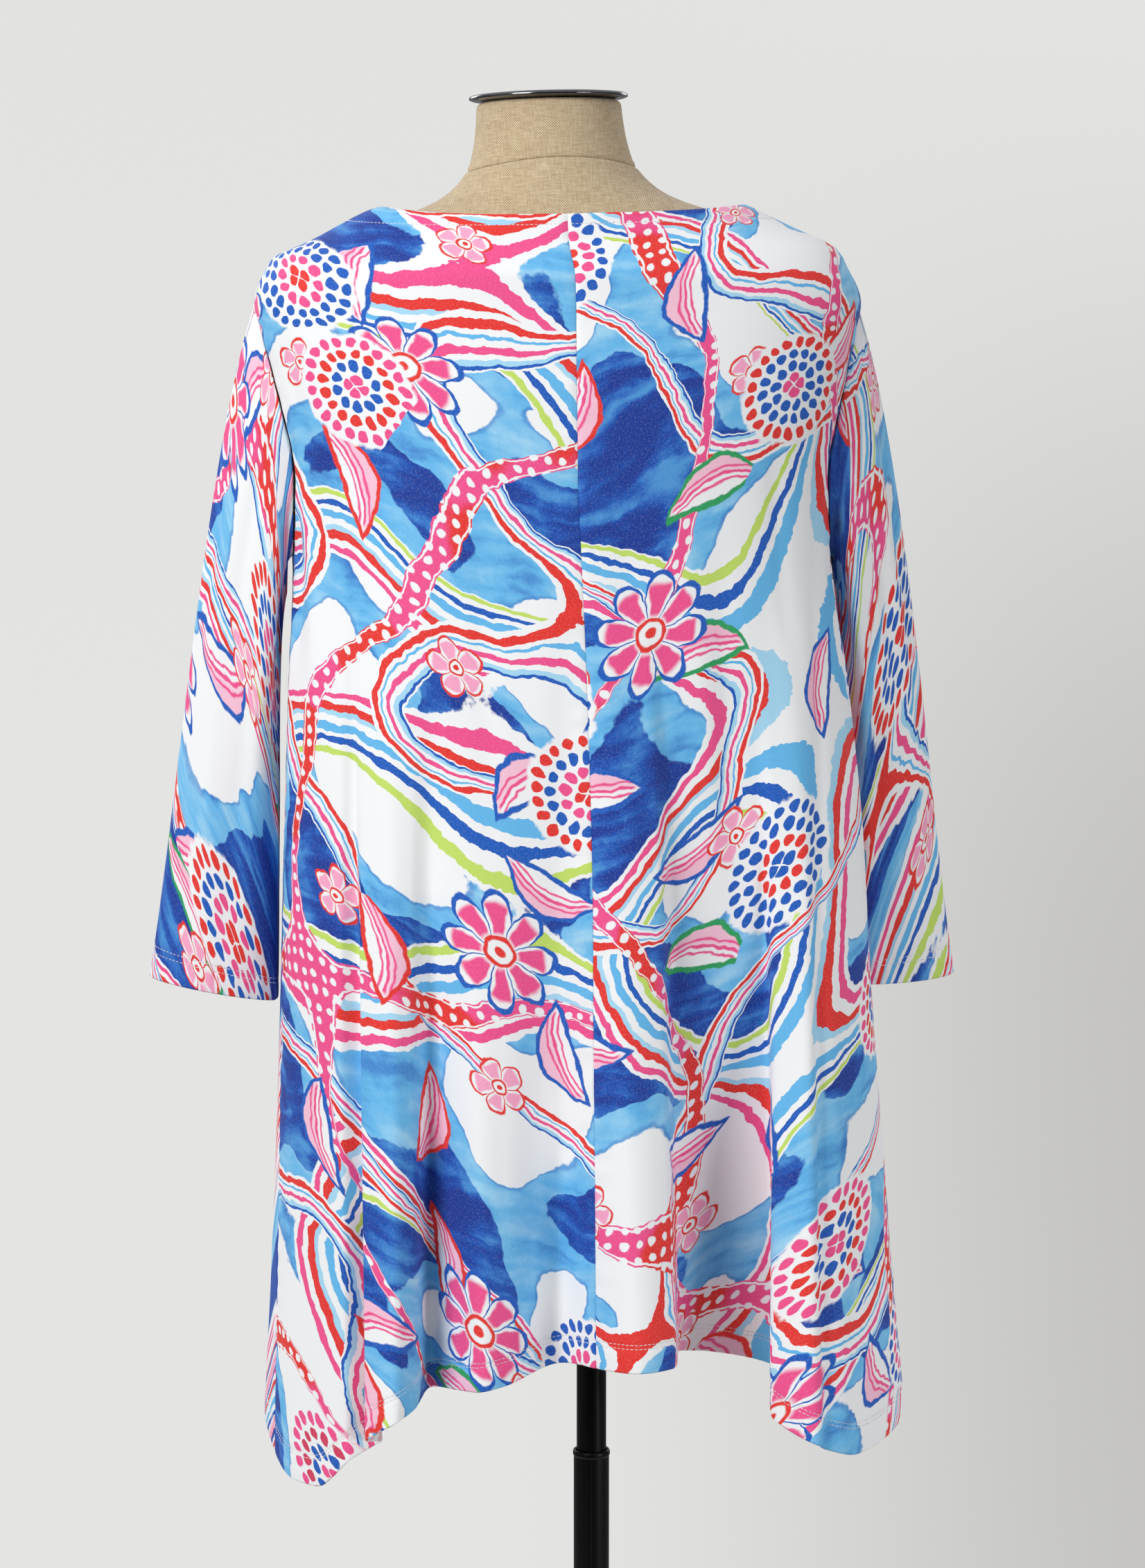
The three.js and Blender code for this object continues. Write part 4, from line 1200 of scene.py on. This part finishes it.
def print_colour(nodes):
    """The whole print on the flat cloth's coordinates, in metres."""
    flat = out(add_node(nodes, "ShaderNodeUVMap", uv_map="cloth"))
    fine = noise(nodes, flat, 160, 2) - 0.5
    place = wobbled(nodes, flat, 60, 0.006)
    colour = washes(nodes, place, fine)
    colour, across, inside = ribbons(nodes, colour, place, fine, 3.4, 0.062, WIDE_STROKES, 4.5)
    second = vector_math(nodes, "ADD", place, (3.1, 1.3, 0))
    colour, across, inside = ribbons(nodes, colour, second, fine, 4.6, 0.040, NARROW_STROKES, 6)
    colour = spotted_band(nodes, colour, place, fine)
    colour = leaves(nodes, colour, place, fine)
    colour = daisies(nodes, colour, vector_math(nodes, "ADD", place, (0.21, 0.64, 0)), fine, 4.6, 0.043, 8, 0.5,
                     PAINTS["royal"], PAINTS["pink"])
    colour = daisies(nodes, colour, vector_math(nodes, "ADD", place, (0.83, 0.11, 0)), fine, 7.5, 0.021, 5, 0.62,
                     PAINTS["red"], PAINTS["blush"])
    colour = rosettes(nodes, colour, place, fine)
    grain = noise(nodes, flat, 700, 3, roughness=0.7)
    return paint(nodes, colour, PAINTS["white"], grain.above(0.62, 0.3) * 0.10), flat


def new_material(name):
    material = bpy.data.materials.new(name)
    material.use_nodes = True
    nodes = material.node_tree.nodes
    return material, nodes, nodes["Principled BSDF"]


def bump(nodes, shader, height, distance, strength=1.0, under=None):
    node = add_node(nodes, "ShaderNodeBump", {"Height": height, "Distance": distance, "Strength": strength})
    if under is not None:
        plug(node.inputs["Normal"], under)
    plug(shader.inputs["Normal"], out(node))
    return out(node)


def jersey(name, fade):
    """Printed jersey: fade mixes the print towards white, as it shows through to the reverse."""
    material, nodes, shader = new_material(name)
    colour, flat = print_colour(nodes)
    if fade:
        colour = paint(nodes, colour, PAINTS["white"], fade)
    plug(shader.inputs["Base Color"], colour)
    shader.inputs["Roughness"].default_value = 0.78
    shader.inputs["Specular IOR Level"].default_value = 0.28
    shader.inputs["Sheen Weight"].default_value = 0.06
    shader.inputs["Sheen Roughness"].default_value = 0.45
    x, y = split(nodes, flat)
    rib = (x * (6283 / 0.85)).math("SINE") * 0.5 + (y * (6283 / 1.1)).math("SINE") * 0.25
    bump(nodes, shader, rib + noise(nodes, flat, 900, 2) * 0.8, 0.00005, 0.4)
    return material


printed_jersey = jersey("printed_jersey", 0)
jersey_reverse = jersey("jersey_reverse", 0.55)
for piece in (back_left, back_right, front, sleeve_left, sleeve_right):
    piece.data.materials.append(printed_jersey)
    piece.data.materials.append(jersey_reverse)
print("print nodes", len(printed_jersey.node_tree.nodes))

# %% [markdown]
# ## Thread, linen, chrome and black steel
# The thread is a spun polyester with a soft twist. The linen is a plain weave of uneven, natural
# yarns: two sets of ridges cross at right angles, some yarns are thicker and some are darker. The
# cap is polished chrome, and the pole and base are steel under a satin black paint.

# %% Other finishes
def thread_material():
    material, nodes, shader = new_material("sewing_thread")
    place = out(add_node(nodes, "ShaderNodeTexCoord"), "Object")
    tone = noise(nodes, place, 140, 1)
    colour = paint(nodes, linear("C9C3C4"), linear("E9E6E6"), tone.above(0.5, 0.3))
    plug(shader.inputs["Base Color"], colour)
    shader.inputs["Roughness"].default_value = 0.6
    shader.inputs["Sheen Weight"].default_value = 0.2
    return material


def linen_material():
    """A plain weave: warp = sin(2.pi.u/p), weft = sin(2.pi.v/p), each yarn with its own tone, and painted light and
    shade on the weave's relief.
    """
    material, nodes, shader = new_material("form_linen")
    flat = out(add_node(nodes, "ShaderNodeUVMap", uv_map="cloth"))
    moved = wobbled(nodes, flat, 120, 0.0008)
    x, y = split(nodes, moved)
    pitch = 0.0018
    warp = (x * (6.2832 / pitch)).math("SINE")
    weft = (y * (6.2832 / pitch)).math("SINE")
    weave = warp * weft
    warp_yarn = noise(nodes, vector_math(nodes, "MULTIPLY", moved, (900, 110, 1)), 1, 1)
    weft_yarn = noise(nodes, vector_math(nodes, "MULTIPLY", moved, (110, 900, 1)), 1, 1)
    slub = noise(nodes, vector_math(nodes, "MULTIPLY", moved, (50, 600, 1)), 1, 1)
    slub = slub.above(0.66, 0.12) * 0.5
    cloud = noise(nodes, flat, 30, 3)
    # The weave term is painted light and shade: lighter on the raised points of the weave, darker in its hollows.
    # The yarn, slub and cloud terms are the linen's own tones.
    tone = weave * 0.42 + warp_yarn * 0.40 + weft_yarn * 0.40 + slub * 0.16 + cloud * 0.12
    colour = paint(nodes, linear("967C58"), linear("E2CFAE"), tone.above(0.46, 1.0))
    # Painted shade in the hollows of the weave.
    colour = paint(nodes, colour, linear("7E6A50"), (1 - weave.above(-0.7, 0.3)) * 0.45)
    plug(shader.inputs["Base Color"], colour)
    shader.inputs["Roughness"].default_value = 0.88
    shader.inputs["Specular IOR Level"].default_value = 0.2
    shader.inputs["Sheen Weight"].default_value = 0.15
    bump(nodes, shader, weave * 0.5 + weft_yarn * 0.6 + warp_yarn * 0.6 + slub * 0.4, 0.00022, 0.8)
    return material


def chrome_material():
    material, nodes, shader = new_material("cap_chrome")
    place = out(add_node(nodes, "ShaderNodeTexCoord"), "Object")
    haze = noise(nodes, place, 38, 3)
    plug(shader.inputs["Base Color"], paint(nodes, linear("585A5E"), linear("7A7C80"), haze))
    shader.inputs["Metallic"].default_value = 1.0
    plug(shader.inputs["Roughness"], haze * 0.10 + 0.07)
    return material


def black_steel_material():
    """Satin black paint: a fine orange-peel bump, and dust that lightens it a little."""
    material, nodes, shader = new_material("black_steel")
    place = out(add_node(nodes, "ShaderNodeTexCoord"), "Object")
    dust = noise(nodes, place, 26, 4)
    speck = noise(nodes, place, 900, 1).above(0.74, 0.05)
    colour = paint(nodes, linear("030304"), linear("070708"), dust)
    plug(shader.inputs["Base Color"], paint(nodes, colour, linear("404045"), speck * 0.15))
    plug(shader.inputs["Roughness"], dust * 0.16 + 0.26)
    shader.inputs["Specular IOR Level"].default_value = 0.2
    shader.inputs["Coat Weight"].default_value = 0.03
    shader.inputs["Coat Roughness"].default_value = 0.1
    bump(nodes, shader, noise(nodes, place, 700, 2), 0.00003, 0.6)
    return material


thread = thread_material()
linen = linen_material()
chrome = chrome_material()
black_steel = black_steel_material()
for piece in (torso, neck):
    piece.data.materials.append(linen)
cap.data.materials.append(chrome)
for piece in (flange, upper_tube, lower_tube, hub, base):
    piece.data.materials.append(black_steel)
for name in threads:
    bpy.data.objects[name].data.materials.append(thread)

# %% [markdown]
# ## Floor, sky and light
# A pale floor fades out around the base into a pale surround, which is painted darker towards its lower right as
# painted shade. A large soft light stands at the left behind the camera, and a weaker one at the right keeps the
# shaded folds readable.

# %% Stage
def floor_material():
    """Pale floor: it fades with the distance from the base."""
    material, nodes, shader = new_material("floor_pale")
    place = out(add_node(nodes, "ShaderNodeTexCoord"), "Object")
    x, y = split(nodes, place)
    distance = (x * x + y * y).math("SQRT")
    grain = noise(nodes, place, 3, 2)
    plug(shader.inputs["Base Color"], paint(nodes, linear("C6C6C4"), linear("CECECC"), grain))
    plug(shader.inputs["Alpha"], 1 - distance.above(1.0, 0.9))
    shader.inputs["Roughness"].default_value = 0.9
    return material


def make_floor(radius=1.5, sides=96):
    turn = np.linspace(0, 2 * math.pi, sides, endpoint=False)
    rim = np.stack([radius * np.cos(turn), radius * np.sin(turn), 0 * turn], -1)
    mesh = bpy.data.meshes.new("floor")
    mesh.from_pydata(rim.tolist(), [], [list(range(sides))])
    piece = bpy.data.objects.new("floor", mesh)
    piece.data.materials.append(floor_material())
    bpy.context.scene.collection.objects.link(piece)
    return piece


def surround():
    """A world that is a pale backdrop to the camera, with painted shade towards its lower right, and a dimmer light
    to the object, darker behind the camera and brighter above.
    """
    world = bpy.data.worlds.new("surround")
    world.use_nodes = True
    nodes, links = world.node_tree.nodes, world.node_tree.links
    nodes.clear()
    direction = out(add_node(nodes, "ShaderNodeTexCoord"), "Generated")
    parts = add_node(nodes, "ShaderNodeSeparateXYZ", {"Vector": direction})
    to_right, ahead, up = out(parts, "X"), out(parts, "Y"), out(parts, "Z")
    # Painted shade: the backdrop seen by the camera is darker low down towards the right.
    darker = to_right.above(0.19, 0.19) * ahead.above(0.8, 0.2)
    low = paint(nodes, linear("E4E4E2"), linear("C3C2C0"), darker)
    high = paint(nodes, linear("E2E2E0"), linear("E3E3E2"), darker)
    colour = paint(nodes, low, high, up.above(-0.03, 0.26))
    ahead_light = paint(nodes, linear("3A3B3D"), linear("8C8D90"), ahead.above(-0.55, 0.7))
    glow = paint(nodes, ahead_light, linear("F6F7FA"), up.above(0.32, 0.9))
    shown = add_node(nodes, "ShaderNodeBackground", {"Color": colour, "Strength": 1.0})
    given = add_node(nodes, "ShaderNodeBackground", {"Color": glow, "Strength": 0.70})
    rays = out(add_node(nodes, "ShaderNodeLightPath"), "Is Camera Ray")
    mix = add_node(nodes, "ShaderNodeMixShader")
    plug(mix.inputs[0], rays)
    links.new(given.outputs[0], mix.inputs[1])
    links.new(shown.outputs[0], mix.inputs[2])
    end = add_node(nodes, "ShaderNodeOutputWorld")
    links.new(mix.outputs[0], end.inputs[0])
    bpy.context.scene.world = world


def soft_light(name, place, aim, size, power, spread=180):
    """A rectangular light at a place, turned to its aim. A narrow spread keeps it off the rest."""
    data = bpy.data.lights.new(name, "AREA")
    data.shape = "RECTANGLE"
    data.size, data.size_y = size
    data.energy = power
    data.spread = math.radians(spread)
    light = bpy.data.objects.new(name, data)
    light.location = place
    light.rotation_euler = (Vector(aim) - Vector(place)).to_track_quat("-Z", "Y").to_euler()
    bpy.context.scene.collection.objects.link(light)


floor = make_floor()
surround()
AIM = (0, 0, 1.1)
soft_light("key_left", (-2.3, -2.1, 2.5), AIM, (1.5, 1.8), 89)
soft_light("fill_right", (2.3, -2.2, 0.8), (0.1, 0, 0.75), (1.2, 1.2), 3.2, spread=50)
soft_light("back_left_light", (-1.6, 2.4, 2.2), AIM, (1.2, 1.6), 26)
soft_light("front_right", (2.0, 2.3, 1.9), AIM, (1.2, 1.6), 14)

# %% [markdown]
# ## Attaching each piece to its body
# Every piece rides on a body of the imported model and stands for its solid, which is hidden. The
# cloth pieces keep their flat coordinates, the sizes they would be cut to, in their cloth map.

# %% Attach the pieces
for piece, body, node, slot in (
        (back_left, "form", "back_left", "tunic_jersey"),
        (back_right, "form", "back_right", "tunic_jersey"),
        (front, "form", "front", "tunic_jersey"),
        (sleeve_left, "form", "sleeve_left", "tunic_jersey"),
        (sleeve_right, "form", "sleeve_right", "tunic_jersey"),
        (torso, "form", "form_torso", "form_linen"),
        (neck, "form", "form_neck", "form_linen"),
        (cap, "form", "neck_cap", "cap_chrome"),
        (flange, "mast", "pole_flange", "black_steel"),
        (upper_tube, "mast", "upper_tube", "black_steel"),
        (lower_tube, "stand", "lower_tube", "black_steel"),
        (hub, "stand", "base_hub", "black_steel"),
        (base, "stand", "base_plate", "black_steel")):
    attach(piece, body)
    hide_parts(node)
for name in threads:
    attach(bpy.data.objects[name], "form")
